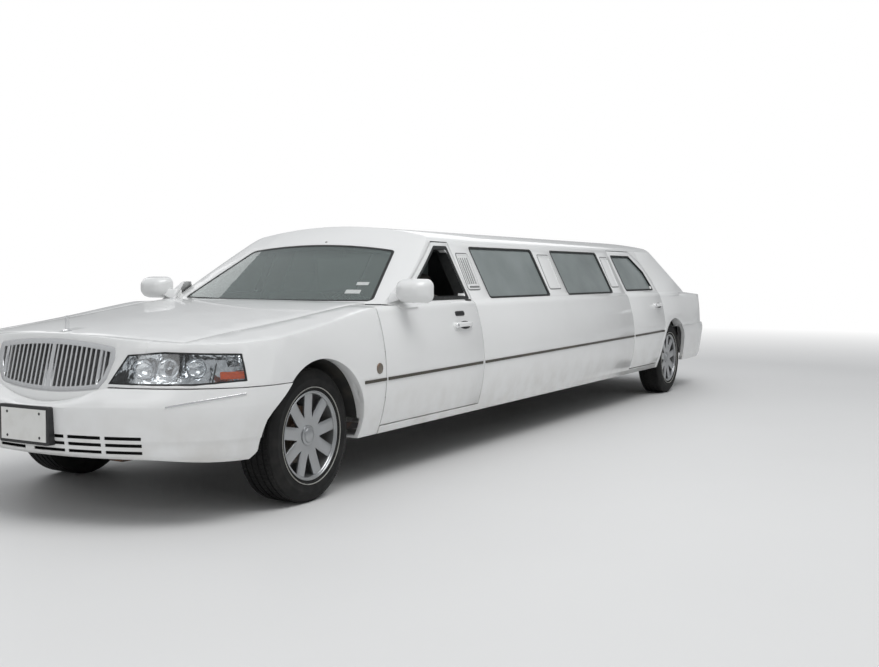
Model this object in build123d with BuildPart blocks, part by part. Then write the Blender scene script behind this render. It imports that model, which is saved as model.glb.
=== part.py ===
from build123d import *
from math import acos, asin, atan2, cos, degrees, pi, radians, sin, sqrt, tan
import os

os.makedirs("parts", exist_ok=True)

# Frame: +X forward, +Y to the left of the car, +Z up, origin on the ground under the middle

# Overall
base_wheelbase = 2990.0
stretch = 3048.0
wheelbase = base_wheelbase + stretch
front_overhang = 1057.0
rear_overhang = 1445.0
front_axle_x = (wheelbase + rear_overhang - front_overhang) / 2
rear_axle_x = front_axle_x - wheelbase

# Lower body side, a barrel of two arcs
widest_y = 997.0
widest_z = 612.0
lower_side_radius = 856.0
upper_side_radius = 1060.0
sill_z = 284.0
shoulder_z = 960.0
belt_y = 905.0
belt_z = 1010.0

# Upper body
window_top_y = 715.0
window_top_z = 1385.0
rail_y = 640.0
rail_z = 1440.0
roof_z = 1505.0
roof_split_z = 1398.0

# Walls
door_wall = 65.0
fender_wall = 28.0
pillar_wall = 42.0
roof_wall = 45.0
bumper_wall = 40.0
skin_wall = 6.0

# Clearances
door_gap = 8.0
panel_gap = 7.0
seat_gap = 0.3
cowl_half = 846.0
cowl_top_half = 822.0
pillar_low_top_z = 900.0
floor_z = 335.0
floor_thickness = 14.0
running_clearance = 0.05
glass_thickness = 5.0

# Windshield and rear window, arcs in plan carried along a slope
windshield_base_x = front_axle_x - 708
windshield_base_z = 1015.0
windshield_rake = 28.7
windshield_plan_radius = 2100.0
rear_window_base_x = rear_axle_x - 680
rear_window_base_z = 1045.0
rear_window_rake = 33.0
rear_window_plan_radius = 2000.0
screen_foot_z = 1004.0

# Wheels
tyre_radius = 350.0
tyre_width = 225.0
rim_radius = 216.0
rim_width = 190.0
front_track = 1610.0
rear_track = 1650.0
front_arch_radius = 402.0
rear_arch_radius = 398.0
kingpin_y = 735.0
spindle_radius = 24.0
spoke_count = 9

# Doors
front_door_front_x = front_axle_x - 600
front_door_rear_x = front_axle_x - 1805
rear_door_front_x = rear_axle_x + 1235
rear_door_rear_x = rear_axle_x + 325
door_bottom_z = 335.0
door_top_z = 1392.0
hinge_inset = 85.0
hinge_y = 975.0


def side_y(z, inset=0.0):
    """Half width of the lower body at height z, less an inset."""
    radius = lower_side_radius if z < widest_z else upper_side_radius
    return widest_y - inset - radius + sqrt(radius**2 - (z - widest_z) ** 2)


def glass_y(z):
    """Half width of the upper body at height z."""
    return belt_y + (window_top_y - belt_y) * (z - belt_z) / (window_top_z - belt_z)


def lower_section(x, corner_z, crown_z, radius, inset=0.0, depth=0.0, bottom_z=sill_z):
    """Closed cross-section of hood or deck and both sides at one station."""
    top_z = corner_z - depth
    with BuildSketch(Plane.YZ.offset(x)) as section:
        with BuildLine():
            for side in (1, -1):
                low = (side * side_y(bottom_z, inset), bottom_z)
                wide = (side * side_y(widest_z, inset), widest_z)
                high = (side * side_y(top_z, inset), top_z)
                low_mid_z = (bottom_z + widest_z) / 2
                high_mid_z = (top_z + widest_z) / 2
                ThreePointArc(low, (side * side_y(low_mid_z, inset), low_mid_z), wide)
                ThreePointArc(wide, (side * side_y(high_mid_z, inset), high_mid_z), high)
            ThreePointArc((side_y(top_z, inset), top_z), (0, crown_z - depth), (-side_y(top_z, inset), top_z))
            Line((side_y(bottom_z, inset), bottom_z), (-side_y(bottom_z, inset), bottom_z))
        make_face()
        corners = section.vertices().filter_by_position(Axis.Z, top_z - 1, top_z + 1)
        fillet(corners, radius)
    return section.sketch


def cabin_section(x, inner=False):
    """Closed cross-section of the cabin, outside or inside its walls."""
    wall = door_wall if inner else 0.0
    pillar = pillar_wall * 1.12 if inner else 0.0
    roof = roof_wall if inner else 0.0
    low_z = sill_z - 4 if inner else sill_z
    with BuildSketch(Plane.YZ.offset(x)) as section:
        with BuildLine():
            for side in (1, -1):
                low = (side * side_y(low_z, wall), low_z)
                wide = (side * side_y(widest_z, wall), widest_z)
                shoulder = (side * side_y(shoulder_z, wall), shoulder_z)
                belt = (side * (belt_y - pillar), belt_z)
                top = (side * (window_top_y - pillar), window_top_z - roof * 0.25)
                rail = (side * (rail_y - pillar * 0.6), rail_z - roof * 0.8)
                low_mid_z = (low_z + widest_z) / 2
                high_mid_z = (shoulder_z + widest_z) / 2
                ThreePointArc(low, (side * side_y(low_mid_z, wall), low_mid_z), wide)
                ThreePointArc(wide, (side * side_y(high_mid_z, wall), high_mid_z), shoulder)
                belt_mid_y = (abs(shoulder[0]) + abs(belt[0])) / 2 + 5
                ThreePointArc(shoulder, (side * belt_mid_y, (shoulder_z + belt_z) / 2 + 4), belt)
                Line(belt, top)
                rail_mid_y = (abs(top[0]) + abs(rail[0])) / 2 + 6.5
                rail_mid_z = (top[1] + rail[1]) / 2 + 9
                ThreePointArc(top, (side * rail_mid_y, rail_mid_z), rail)
            ThreePointArc((rail_y - pillar * 0.6, rail[1]), (0, roof_z - roof), (-rail_y + pillar * 0.6, rail[1]))
            Line((side_y(low_z, wall), low_z), (-side_y(low_z, wall), low_z))
        make_face()
    return section.sketch


def plan_section(z, axle_x, facing, centre, front_y, front, corner_y, corner, side_half, side, back, flare, inset=0.0):
    """Closed plan outline of a nose or tail at height z, facing +1 forward or -1 rearward."""
    reach = [facing * (value - inset) for value in (centre, front, corner)]
    with BuildSketch(Plane.XY.offset(z)) as outline:
        with BuildLine():
            middle = ThreePointArc(
                (axle_x + reach[1], -front_y), (axle_x + reach[0], 0), (axle_x + reach[1], front_y)
            )
            for sign, end in ((1, 1), (-1, 0)):
                tangent = middle % end * (1 if end == 1 else -1)
                turn = TangentArc(
                    (axle_x + reach[1], sign * front_y),
                    (axle_x + reach[2], sign * (corner_y - inset)),
                    tangent=tangent,
                )
                Line(turn @ 1, (axle_x + facing * side, sign * (side_half - inset)))
                back_half = side_half + flare - inset
                Line((axle_x + facing * side, sign * (side_half - inset)), (axle_x + facing * back, sign * back_half))
            Line((axle_x + facing * back, back_half), (axle_x + facing * back, -back_half))
        make_face()
    return outline.sketch



# Body stations: distance ahead of the axle, corner height, crown height, corner radius
front_stations = ((-960, 1006, 1032, 55), (-600, 1002, 1026, 60), (-100, 930, 985, 95), (400, 868, 940, 95), (1080, 700, 850, 80))
rear_stations = ((-300, 985, 1040, 60), (-800, 975, 1042, 75), (-1150, 960, 1026, 85), (-1470, 935, 985, 90))

# Plan levels: height, middle reach, front half width and reach, corner half width and reach,
# side half width and reach, back reach, widening towards the back
nose_levels = (
    (240, 1015, 400, 988, 994, 684, 1026, 492, -1000, 30),
    (1080, 799, 400, 789, 874, 456, 942, 324, -1000, 30),
)
tail_levels = (
    (240, 1430, 550, 1395, 930, 1150, 1005, 950, 250, 30),
    (1080, 1380, 550, 1345, 885, 1100, 960, 900, 250, 30),
)
front_bumper_levels = (
    (255, 975, 600, 850, 885, 540, 915, 420, 150, 4),
    (300, 1015, 600, 888, 904, 560, 934, 422, 150, 4),
    (560, 1035, 600, 905, 956, 572, 991, 425, 150, 4),
    (600, 1022, 600, 893, 956, 568, 993, 425, 150, 4),
    (652, 940, 600, 845, 935, 562, 988, 425, 150, 4),
)
rear_bumper_levels = (
    (300, 1385, 600, 1335, 900, 1110, 934, 930, 150, 4),
    (345, 1425, 600, 1372, 915, 1135, 950, 935, 150, 4),
    (590, 1445, 600, 1390, 945, 1150, 992, 940, 150, 4),
    (630, 1436, 600, 1380, 945, 1146, 992, 940, 150, 4),
    (668, 1385, 600, 1345, 930, 1125, 987, 940, 150, 4),
)


def body_form(stations, axle_x, inset=0.0, depth=0.0):
    """Loft through the cross-sections of hood or deck."""
    with BuildPart() as form:
        for ahead, corner_z, crown_z, radius in stations:
            add(lower_section(axle_x + ahead, corner_z, crown_z, radius, inset, depth, sill_z + inset * 0.5))
        loft()
    return form.part


def plan_form(levels, axle_x, facing, inset=0.0):
    """Ruled loft through the plan outlines of a nose, tail or bumper."""
    with BuildPart() as form:
        for z, *reaches in levels:
            add(plan_section(z, axle_x, facing, *reaches, inset))
        loft(ruled=True)
    return form.part


def side_prism(points, y_from, y_to):
    """Prism through the side view between two half widths."""
    with BuildPart() as prism:
        with BuildSketch(Plane.XZ.offset(-y_to)):
            with BuildLine():
                Polyline(*points, close=True)
            make_face()
        extrude(amount=y_to - y_from)
    return prism.part


def box(x_range, y_range, z_range):
    """Box between two values on each axis."""
    with BuildPart() as block:
        with BuildSketch(Plane.XY.offset(z_range[0])):
            with Locations(((x_range[0] + x_range[1]) / 2, (y_range[0] + y_range[1]) / 2)):
                Rectangle(abs(x_range[1] - x_range[0]), abs(y_range[1] - y_range[0]))
        extrude(amount=z_range[1] - z_range[0])
    return block.part


def screen_region(base_x, rake, plan_radius, facing, depth=0.0, from_z=985.0):
    """Space outside a raked screen whose surface is moved inward by a depth."""
    slope = radians(rake)
    base_z = windshield_base_z if facing > 0 else rear_window_base_z
    start_x = base_x + facing * ((base_z - from_z) / tan(slope) - depth / sin(slope))
    half = 1100.0
    edge_x = start_x - facing * (plan_radius - sqrt(plan_radius**2 - half**2))
    far_x = start_x + facing * 3000
    with BuildPart() as region:
        with BuildSketch(Plane.XY.offset(from_z)):
            with BuildLine():
                ThreePointArc((edge_x, -half), (start_x, 0), (edge_x, half))
                Polyline((edge_x, half), (far_x, half), (far_x, -half), (edge_x, -half))
            make_face()
        extrude(amount=1250, dir=(-facing * cos(slope), 0, sin(slope)))
    return region.part


def arch_cylinder(axle_x, radius, y_from, y_to):
    """Round space of a wheel arch."""
    with BuildPart() as arch:
        with BuildSketch(Plane.XZ.offset(-y_to)):
            with Locations((axle_x, tyre_radius)):
                Circle(radius)
        extrude(amount=y_to - y_from)
    return arch.part


cabin_front_x = front_axle_x - 592
cabin_rear_x = rear_axle_x - 500

# Upper body sides draw in towards the windshield along an arc in plan
taper_start_x = front_axle_x - 1500
taper_radius = 3700.0


def taper_region(side, inset=0.0):
    """Space outside the drawn-in upper body side ahead of the taper's start."""
    reach = 1000.0
    start_y = side * (glass_y(screen_foot_z) - inset)
    drop = side * (taper_radius - sqrt(taper_radius**2 - reach**2))
    drop_mid = side * (taper_radius - sqrt(taper_radius**2 - (reach / 2) ** 2))
    with BuildPart() as region:
        with BuildSketch(Plane.XY.offset(screen_foot_z)):
            with BuildLine():
                ThreePointArc(
                    (taper_start_x, start_y),
                    (taper_start_x + reach / 2, start_y - drop_mid),
                    (taper_start_x + reach, start_y - drop),
                )
                Polyline(
                    (taper_start_x + reach, start_y - drop),
                    (taper_start_x + reach, side * 1300),
                    (taper_start_x, side * 1300),
                    (taper_start_x, start_y),
                )
            make_face()
        extrude(amount=560, dir=(0, side * (window_top_y - belt_y), window_top_z - belt_z))
    return region.part


# Cabin, outside and inside
with BuildPart() as cabin_outer:
    add(cabin_section(cabin_rear_x))
    extrude(amount=cabin_front_x - cabin_rear_x, dir=(1, 0, 0))
    add(screen_region(windshield_base_x, windshield_rake, windshield_plan_radius, 1, from_z=screen_foot_z), mode=Mode.SUBTRACT)
    add(screen_region(rear_window_base_x, rear_window_rake, rear_window_plan_radius, -1, from_z=screen_foot_z), mode=Mode.SUBTRACT)
    for side in (1, -1):
        add(taper_region(side), mode=Mode.SUBTRACT)

with BuildPart() as cabin_inner:
    add(cabin_section(cabin_rear_x - 10, inner=True))
    extrude(amount=cabin_front_x - cabin_rear_x + 20, dir=(1, 0, 0))
    add(screen_region(windshield_base_x, windshield_rake, windshield_plan_radius, 1, pillar_wall, screen_foot_z), mode=Mode.SUBTRACT)
    add(screen_region(rear_window_base_x, rear_window_rake, rear_window_plan_radius, -1, pillar_wall, screen_foot_z), mode=Mode.SUBTRACT)
    for side in (1, -1):
        add(taper_region(side, pillar_wall * 1.12), mode=Mode.SUBTRACT)

with BuildPart() as cabin_shell:
    add(cabin_outer.part)
    add(cabin_inner.part, mode=Mode.SUBTRACT)

# Nose and tail, outside and inside
with BuildPart() as nose_outer:
    add(body_form(front_stations, front_axle_x))
    add(plan_form(nose_levels, front_axle_x, 1), mode=Mode.INTERSECT)

with BuildPart() as nose_inner:
    add(body_form(front_stations, front_axle_x, fender_wall, 25))
    add(plan_form(nose_levels, front_axle_x, 1, 45), mode=Mode.INTERSECT)

with BuildPart() as tail_outer:
    add(body_form(rear_stations, rear_axle_x))
    add(plan_form(tail_levels, rear_axle_x, -1), mode=Mode.INTERSECT)

with BuildPart() as tail_inner:
    add(body_form(rear_stations, rear_axle_x, fender_wall, 25))
    add(plan_form(tail_levels, rear_axle_x, -1, 45), mode=Mode.INTERSECT)

# Hood outline in plan
hood_rear_x = front_axle_x - 636
hood_rear_corner = (front_axle_x - 748, 752)
hood_front_corner = (front_axle_x + 714, 700)
hood_front_x = front_axle_x + 838
hood_hinge_x = front_axle_x - 765
hood_hinge_z = 990.0
hinge_lug_y = 700.0
lug_radius = 9.5
lug_pin_radius = 5.0
lug_width = 16.0
lug_slot = 32.0

# Trunk lid outline
lid_front_x = rear_axle_x - 735
lid_half_width = 655.0
lid_bottom_z = 705.0
lid_hinge_x = rear_axle_x - 600
lid_hinge_z = 1002.0
lid_edge_gap = 11.0
lid_lug_y = 600.0


def hood_prism(gap=0.0):
    """Plan outline of the hood carried through the height, grown by a gap."""
    rear = hood_rear_x - gap
    rear_corner = (hood_rear_corner[0] - gap, hood_rear_corner[1] + gap)
    front_corner = (hood_front_corner[0] + gap * 0.7, hood_front_corner[1] + gap)
    front = hood_front_x + gap
    with BuildPart() as prism:
        with BuildSketch(Plane.XY.offset(700)):
            with BuildLine():
                ThreePointArc((rear_corner[0], -rear_corner[1]), (rear, 0), rear_corner)
                Line(rear_corner, front_corner)
                ThreePointArc(front_corner, (front, 0), (front_corner[0], -front_corner[1]))
                Line((front_corner[0], -front_corner[1]), (rear_corner[0], -rear_corner[1]))
            make_face()
        extrude(amount=450)
    return prism.part


def lamp_prism(gap=0.0):
    """Front-view outline of the left headlamp carried along the car."""
    points = (
        (385 - gap, 668 - gap),
        (470 - gap, 806 + gap),
        (640, 822 + gap),
        (880, 812 + gap),
        (1010, 800 + gap),
        (1010, 690 - gap),
        (780, 668 - gap),
    )
    with BuildPart() as prism:
        with BuildSketch(Plane.YZ.offset(front_axle_x + 545 - gap)):
            with BuildLine():
                Polyline(*points, close=True)
            make_face()
        extrude(amount=600)
    return prism.part


def front_door_outline(gap=0.0):
    """Side-view corners of the front door."""
    pillar_x = glass_front_x
    return (
        (front_door_front_x + gap, door_bottom_z - gap),
        (front_door_front_x + gap, belt_z - 8 + gap),
        (pillar_x + gap * 2.2, belt_z - 8 + gap),
        (pillar_x - (door_top_z - belt_z + 8) / tan(radians(pillar_rake)) + gap * 2.2, door_top_z + gap),
        (front_door_rear_x - gap, door_top_z + gap),
        (front_door_rear_x - gap, door_bottom_z - gap),
    )


glass_front_x = front_axle_x - 912
pillar_rake = 29.5


def rear_door_outline(gap=0.0):
    """Side-view corners of the rear door, following the rear arch."""
    radius = rear_arch_radius + 66 - gap
    low_z = door_bottom_z - gap
    rear_x = rear_door_rear_x - gap
    start = asin((low_z - tyre_radius) / radius)
    end = acos((rear_x - rear_axle_x) / radius)
    arc = [
        (
            rear_axle_x + radius * cos(start + (end - start) * step / 5),
            tyre_radius + radius * sin(start + (end - start) * step / 5),
        )
        for step in range(6)
    ]
    return (
        (rear_door_front_x + gap, low_z),
        (rear_door_front_x + gap, door_top_z + gap),
        (rear_axle_x + 650 - gap * 0.6, door_top_z + gap),
        (rear_axle_x + 440 - gap * 0.9, 1275),
        (rear_axle_x + 345 - gap, 1130),
        (rear_x, belt_z),
        *reversed(arc),
    )


def slant_region(points, slopes):
    """Space ahead of a door's rear edge, whose face runs rearward as it goes outboard.

    Columns of slopes: lowest height, highest height, rearward run for each unit outboard.
    """
    start_y = 1100.0
    far_x = front_axle_x + 200
    with BuildPart() as region:
        for z_low, z_high, slope in slopes:
            edge = [(x, z) for x, z in points if z_low <= z <= z_high]
            sheared = [(x - 2 - slope * (start_y - outer_y(z)), z) for x, z in edge]
            with BuildSketch(Plane.XZ.offset(-start_y)):
                with BuildLine():
                    Polyline(*sheared, (far_x, sheared[-1][1]), (far_x, sheared[0][1]), close=True)
                make_face()
            extrude(amount=560, dir=(slope, -1, 0))
    return region.part


def outer_y(z):
    """Half width of the cabin's outside at any height."""
    if z <= shoulder_z:
        return side_y(z)
    if z <= belt_z:
        return side_y(shoulder_z) + (belt_y - side_y(shoulder_z)) * (z - shoulder_z) / (belt_z - shoulder_z)
    return glass_y(z)


hinge_heights = (500.0, 730.0)
hinge_pin_radius = 4.0
hinge_eye_radius = 7.5


def door_shell(outline, front_x, region):
    """Door skin and window frame with hinge pockets and pins."""
    with BuildPart() as door:
        add(cabin_shell.part)
        add(side_prism(outline, 600, 1100), mode=Mode.INTERSECT)
        add(region, mode=Mode.INTERSECT)
        for height in hinge_heights:
            add(
                box((front_x - hinge_inset - 30, front_x + 5), (700, hinge_y + 9), (height - 22, height + 22)),
                mode=Mode.SUBTRACT,
            )
            with BuildSketch(Plane.XY.offset(height - 24)):
                with Locations((front_x - hinge_inset, hinge_y)):
                    Circle(hinge_pin_radius)
            extrude(amount=48)
    return door.part


def window_cut(points, radius):
    """Side-view window opening with rounded corners."""
    with BuildPart() as cut:
        with BuildSketch(Plane.XZ.offset(-1050)):
            with BuildLine():
                FilletPolyline(*points, radius=radius, close=True)
            make_face()
        extrude(amount=500)
    return cut.part


window_low_z = 1042.0
window_high_z = 1345.0
frame_run = 64.0
front_window_points = (
    (glass_front_x - frame_run - (window_low_z - belt_z + 8) / tan(radians(pillar_rake)), window_low_z),
    (glass_front_x - frame_run - (window_high_z - belt_z + 8) / tan(radians(pillar_rake)), window_high_z),
    (front_door_rear_x + 62, 1345),
    (front_door_rear_x + 62, 1042),
)
rear_window_points = (
    (rear_door_front_x - 55, 1042),
    (rear_door_front_x - 55, 1345),
    (rear_axle_x + 700, 1345),
    (rear_axle_x + 490, 1200),
    (rear_axle_x + 430, 1042),
)

# Left front door
front_rear_edge = [(front_door_rear_x, z) for z in (200, belt_z, 1500)]
with BuildPart() as door_front_left:
    add(door_shell(front_door_outline(), front_door_front_x, slant_region(front_rear_edge, ((200, belt_z, 0.2), (belt_z, 1500, 0.4)))))
    add(window_cut(front_window_points, 30), mode=Mode.SUBTRACT)

# Left rear door
rear_outline = rear_door_outline()
rear_edge = [(rear_axle_x + rear_arch_radius + 66, 200), *rear_outline[:-7:-1], *reversed(rear_outline[2:6]), (rear_outline[2][0] + 60, 1500)]
with BuildPart() as door_rear_left:
    add(door_shell(rear_outline, rear_door_front_x, slant_region(rear_edge, ((200, belt_z, 0.3), (belt_z, 1500, 0.6)))))
    add(window_cut(rear_window_points, 30), mode=Mode.SUBTRACT)

# Door glass, a pane set in each window with a small clearance
def pane(points, clearance, thickness, depth, radius=30):
    """Window pane following the cabin's outside at a depth below it."""
    with BuildPart() as glass:
        add(cabin_outer.part)
        with BuildSketch(Plane.XZ.offset(-1050)):
            with BuildLine():
                FilletPolyline(*points, radius=radius, close=True)
            make_face()
            offset(amount=-clearance, mode=Mode.REPLACE)
        extrude(amount=450, mode=Mode.INTERSECT)
        slope = (belt_y - window_top_y) / (window_top_z - belt_z)
        lean = sqrt(1 + slope**2)
        outer_offset = depth * lean
        inner_offset = (depth + thickness) * lean
        with BuildSketch(Plane.YZ.offset(rear_axle_x - 600)):
            with BuildLine():
                Polyline(
                    (glass_y(1000) - outer_offset, 1000),
                    (glass_y(1400) - outer_offset, 1400),
                    (glass_y(1400) - inner_offset, 1400),
                    (glass_y(1000) - inner_offset, 1000),
                    close=True,
                )
            make_face()
        extrude(amount=wheelbase, dir=(1, 0, 0), mode=Mode.INTERSECT)
    return glass.part


with BuildPart() as glass_rear_left:
    add(pane(rear_window_points, seat_gap, glass_thickness, 12))

with BuildPart() as glass_front_left:
    add(pane(front_window_points, seat_gap, glass_thickness, 12))

# Stretch panel with its pillars and two long windows, left
stretch_front_x = front_door_rear_x - door_gap
stretch_rear_x = rear_door_front_x + door_gap
side_windows_table = (
    # front edge, rear edge behind the front axle
    (front_axle_x - 2090, front_axle_x - 3095),
    (front_axle_x - 3485, front_axle_x - 4470),
)
rocker_top_z = door_bottom_z - panel_gap
with BuildPart() as side_panel_left:
    add(cabin_shell.part)
    add(
        side_prism(
            (
                (front_door_front_x - 2, sill_z - 5),
                (front_door_front_x - 2, rocker_top_z),
                (stretch_front_x, rocker_top_z),
                (stretch_front_x, roof_split_z),
                (stretch_rear_x, roof_split_z),
                (stretch_rear_x, rocker_top_z),
                (rear_axle_x + rear_arch_radius + 60, rocker_top_z),
                (rear_axle_x + rear_arch_radius + 60, sill_z - 5),
            ),
            500,
            1100,
        ),
        mode=Mode.INTERSECT,
    )
    for window_front_x, window_rear_x in side_windows_table:
        add(
            window_cut(((window_front_x, 1030), (window_front_x, 1362), (window_rear_x, 1362), (window_rear_x, 1030)), 24),
            mode=Mode.SUBTRACT,
        )

with BuildPart() as side_windows:
    for window_front_x, window_rear_x in side_windows_table:
        add(
            pane(
                ((window_front_x, 1030), (window_front_x, 1362), (window_rear_x, 1362), (window_rear_x, 1030)),
                seat_gap,
                glass_thickness,
                6,
                24,
            )
        )
    mirror(about=Plane.XZ)

# Rear quarter with the rear pillar, left
with BuildPart() as tail_body:
    add(cabin_shell.part)
    add(box((rear_axle_x - 3000, rear_axle_x + 520), (-1100, 1100), (200, 1600)), mode=Mode.INTERSECT)
    add(box((rear_axle_x - 3000, rear_axle_x + rear_stations[0][0]), (-1100, 1100), (200, 1000)), mode=Mode.SUBTRACT)
    add(tail_outer.part)
    add(tail_inner.part, mode=Mode.SUBTRACT)
    add(cabin_inner.part, mode=Mode.SUBTRACT)


def lid_prism(gap=0.0, edge_gap=0.0):
    """Plan outline of the trunk lid carried down to the lid's lower edge."""
    rear_x = rear_axle_x - rear_overhang - 100
    with BuildPart() as prism:
        with BuildSketch(Plane.XY.offset(lid_bottom_z - gap)):
            with BuildLine():
                ThreePointArc(
                    (lid_front_x + edge_gap + 75, -lid_half_width - gap),
                    (lid_front_x + edge_gap, 0),
                    (lid_front_x + edge_gap + 75, lid_half_width + gap),
                )
                Polyline(
                    (lid_front_x + edge_gap + 75, lid_half_width + gap),
                    (rear_x, lid_half_width + gap),
                    (rear_x, -lid_half_width - gap),
                    (lid_front_x + edge_gap + 75, -lid_half_width - gap),
                )
            make_face()
        extrude(amount=500)
    return prism.part


tail_lamp_points = ((655 + 2 * panel_gap, 712), (655 + 2 * panel_gap, 905), (1020, 880), (1020, 740))


def tail_lamp_prism(gap=0.0):
    """Rear-view outline of the left tail lamp carried along the car."""
    (a, b), (c, d), (e, f), (g, h) = tail_lamp_points
    with BuildPart() as prism:
        with BuildSketch(Plane.YZ.offset(rear_axle_x - 1115 + gap)):
            with BuildLine():
                Polyline((a - gap, b - gap), (c - gap, d + gap), (e, f + gap), (g, h - gap), close=True)
            make_face()
        extrude(amount=-500)
    return prism.part


rear_bumper_top_z = 668.0
lamp_split_y = 640.0


# Screens in their apertures
def screen_plane(base_x, base_z, rake, facing):
    """Plane on a raked screen, with its second axis up the slope."""
    slope = radians(rake)
    return Plane(origin=(base_x, 0, base_z), x_dir=(0, facing, 0), z_dir=(facing * sin(slope), 0, cos(slope)))


def aperture(plane, low_half, low_side, low_middle, high_half, high, radius, inset=0.0):
    """Rounded opening through a screen frame, normal to the screen."""
    with BuildPart() as opening:
        with BuildSketch(plane):
            with BuildLine():
                ThreePointArc((-low_half, low_side), (0, low_middle), (low_half, low_side))
                Line((low_half, low_side), (high_half, high - 12))
                ThreePointArc((high_half, high - 12), (0, high), (-high_half, high - 12))
                Line((-high_half, high - 12), (-low_half, low_side))
            make_face()
            fillet(vertices(), radius)
            if inset:
                offset(amount=-inset, mode=Mode.REPLACE)
        extrude(amount=220, both=True)
    return opening.part


windshield_plane = screen_plane(windshield_base_x, windshield_base_z, windshield_rake, 1)
rear_window_plane = screen_plane(rear_window_base_x, rear_window_base_z, rear_window_rake, -1)
windshield_aperture = (735, 135, 14, 572, 752, 45)
rear_window_aperture = (620, 128, 34, 520, 655, 60)
shelf_top_z = 1078.0
shelf_front_x = rear_axle_x - 505

with BuildPart() as roof_shell:
    add(cabin_shell.part)
    add(
        side_prism(
            (
                (rear_axle_x - 3000, roof_split_z),
                (front_door_rear_x - door_gap, roof_split_z),
                (front_door_rear_x - door_gap, screen_foot_z + seat_gap),
                (front_axle_x + 100, screen_foot_z + seat_gap),
                (front_axle_x + 100, 1700),
                (rear_axle_x - 3000, 1700),
            ),
            -1100,
            1100,
        ),
        mode=Mode.INTERSECT,
    )
    add(side_prism(front_door_outline(panel_gap), -1100, 1100), mode=Mode.SUBTRACT)
    add(aperture(windshield_plane, *windshield_aperture), mode=Mode.SUBTRACT)
    add(aperture(rear_window_plane, *rear_window_aperture), mode=Mode.SUBTRACT)

# Rear quarter with the rear pillar, left
def arch_flange(axle_x, radius, y_inner, y_outer, width):
    """Return flange round an arch, which the wheelhouse meets."""
    with BuildPart() as flange:
        add(arch_cylinder(axle_x, radius + width, y_inner, y_outer))
        add(arch_cylinder(axle_x, radius, y_inner - 1, y_outer + 1), mode=Mode.SUBTRACT)
    return flange.part


tub_lift = 45.0
tub_wall = 5.0
tub_margin = 12.0
rear_tub_y = (650.0, 900.0)
front_tub_y = (492.0, 925.0)
with BuildPart() as quarter_left:
    add(tail_body.part)
    add(
        box((rear_axle_x - 3000, rear_axle_x + rear_arch_radius + 60), (0.5, 1100), (sill_z - 5, roof_split_z)),
        mode=Mode.INTERSECT,
    )
    add(side_prism(rear_door_outline(panel_gap), 400, 1100), mode=Mode.SUBTRACT)
    add(box((rear_axle_x - 3000, rear_axle_x), (-100, 1200), (0, rear_bumper_top_z)), mode=Mode.SUBTRACT)
    with BuildPart(mode=Mode.PRIVATE) as flange:
        add(arch_flange(rear_axle_x, rear_arch_radius, rear_tub_y[1] + seat_gap, 950, tub_margin + tub_wall))
        add(box((rear_axle_x - 600, rear_axle_x), (800, 1200), (0, rear_bumper_top_z)), mode=Mode.SUBTRACT)
        add(box((rear_axle_x - 600, rear_axle_x + 600), (800, 1200), (-200, tyre_radius + tub_lift)), mode=Mode.SUBTRACT)
    add(flange.part)
    add(arch_cylinder(rear_axle_x, rear_arch_radius, 400, 1100), mode=Mode.SUBTRACT)
    add(lid_prism(panel_gap, lid_edge_gap), mode=Mode.SUBTRACT)
    add(tail_lamp_prism(seat_gap), mode=Mode.SUBTRACT)
    add(aperture(rear_window_plane, *rear_window_aperture), mode=Mode.SUBTRACT)
    add(box((rear_axle_x - 1000, shelf_front_x), (-10, lamp_split_y), (900, shelf_top_z)), mode=Mode.SUBTRACT)
    add(box((rear_axle_x - 1600, rear_axle_x - 900), (-10, lamp_split_y - 40), (400, shelf_top_z)), mode=Mode.SUBTRACT)

# Shelf between the rear window and the lid, with the lid hinge pins
with BuildPart() as rear_shelf:
    add(tail_body.part)
    add(
        box((rear_axle_x - 1000, shelf_front_x), (-lamp_split_y, lamp_split_y), (900, shelf_top_z)),
        mode=Mode.INTERSECT,
    )
    add(aperture(rear_window_plane, *rear_window_aperture), mode=Mode.SUBTRACT)
    add(lid_prism(panel_gap, lid_edge_gap), mode=Mode.SUBTRACT)
    for side in (1, -1):
        add(
            box(
                (lid_hinge_x - 90, lid_hinge_x + 20),
                (side * lid_lug_y - lug_slot / 2, side * lid_lug_y + lug_slot / 2),
                (900, 1100),
            ),
            mode=Mode.SUBTRACT,
        )
        with BuildSketch(Plane.XZ.offset(-(side * lid_lug_y + lug_slot / 2 + 4))):
            with Locations((lid_hinge_x, lid_hinge_z)):
                Circle(lug_pin_radius)
        extrude(amount=lug_slot + 8)


def screen(plane, outline, base_x, rake, plan_radius, facing, depth):
    """Curved glass that fills an aperture at a depth below the surface."""
    with BuildPart() as glass:
        add(aperture(plane, *outline, inset=seat_gap))
        outer = screen_region(base_x, rake, plan_radius, facing, depth, 950)
        inner = screen_region(base_x, rake, plan_radius, facing, depth + glass_thickness, 950)
        add(inner, mode=Mode.INTERSECT)
        add(outer, mode=Mode.SUBTRACT)
    return glass.part


with BuildPart() as windshield:
    add(screen(windshield_plane, windshield_aperture, windshield_base_x, windshield_rake, windshield_plan_radius, 1, 4))
with BuildPart() as rear_window:
    add(screen(rear_window_plane, rear_window_aperture, rear_window_base_x, rear_window_rake, rear_window_plan_radius, -1, 4))

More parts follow.
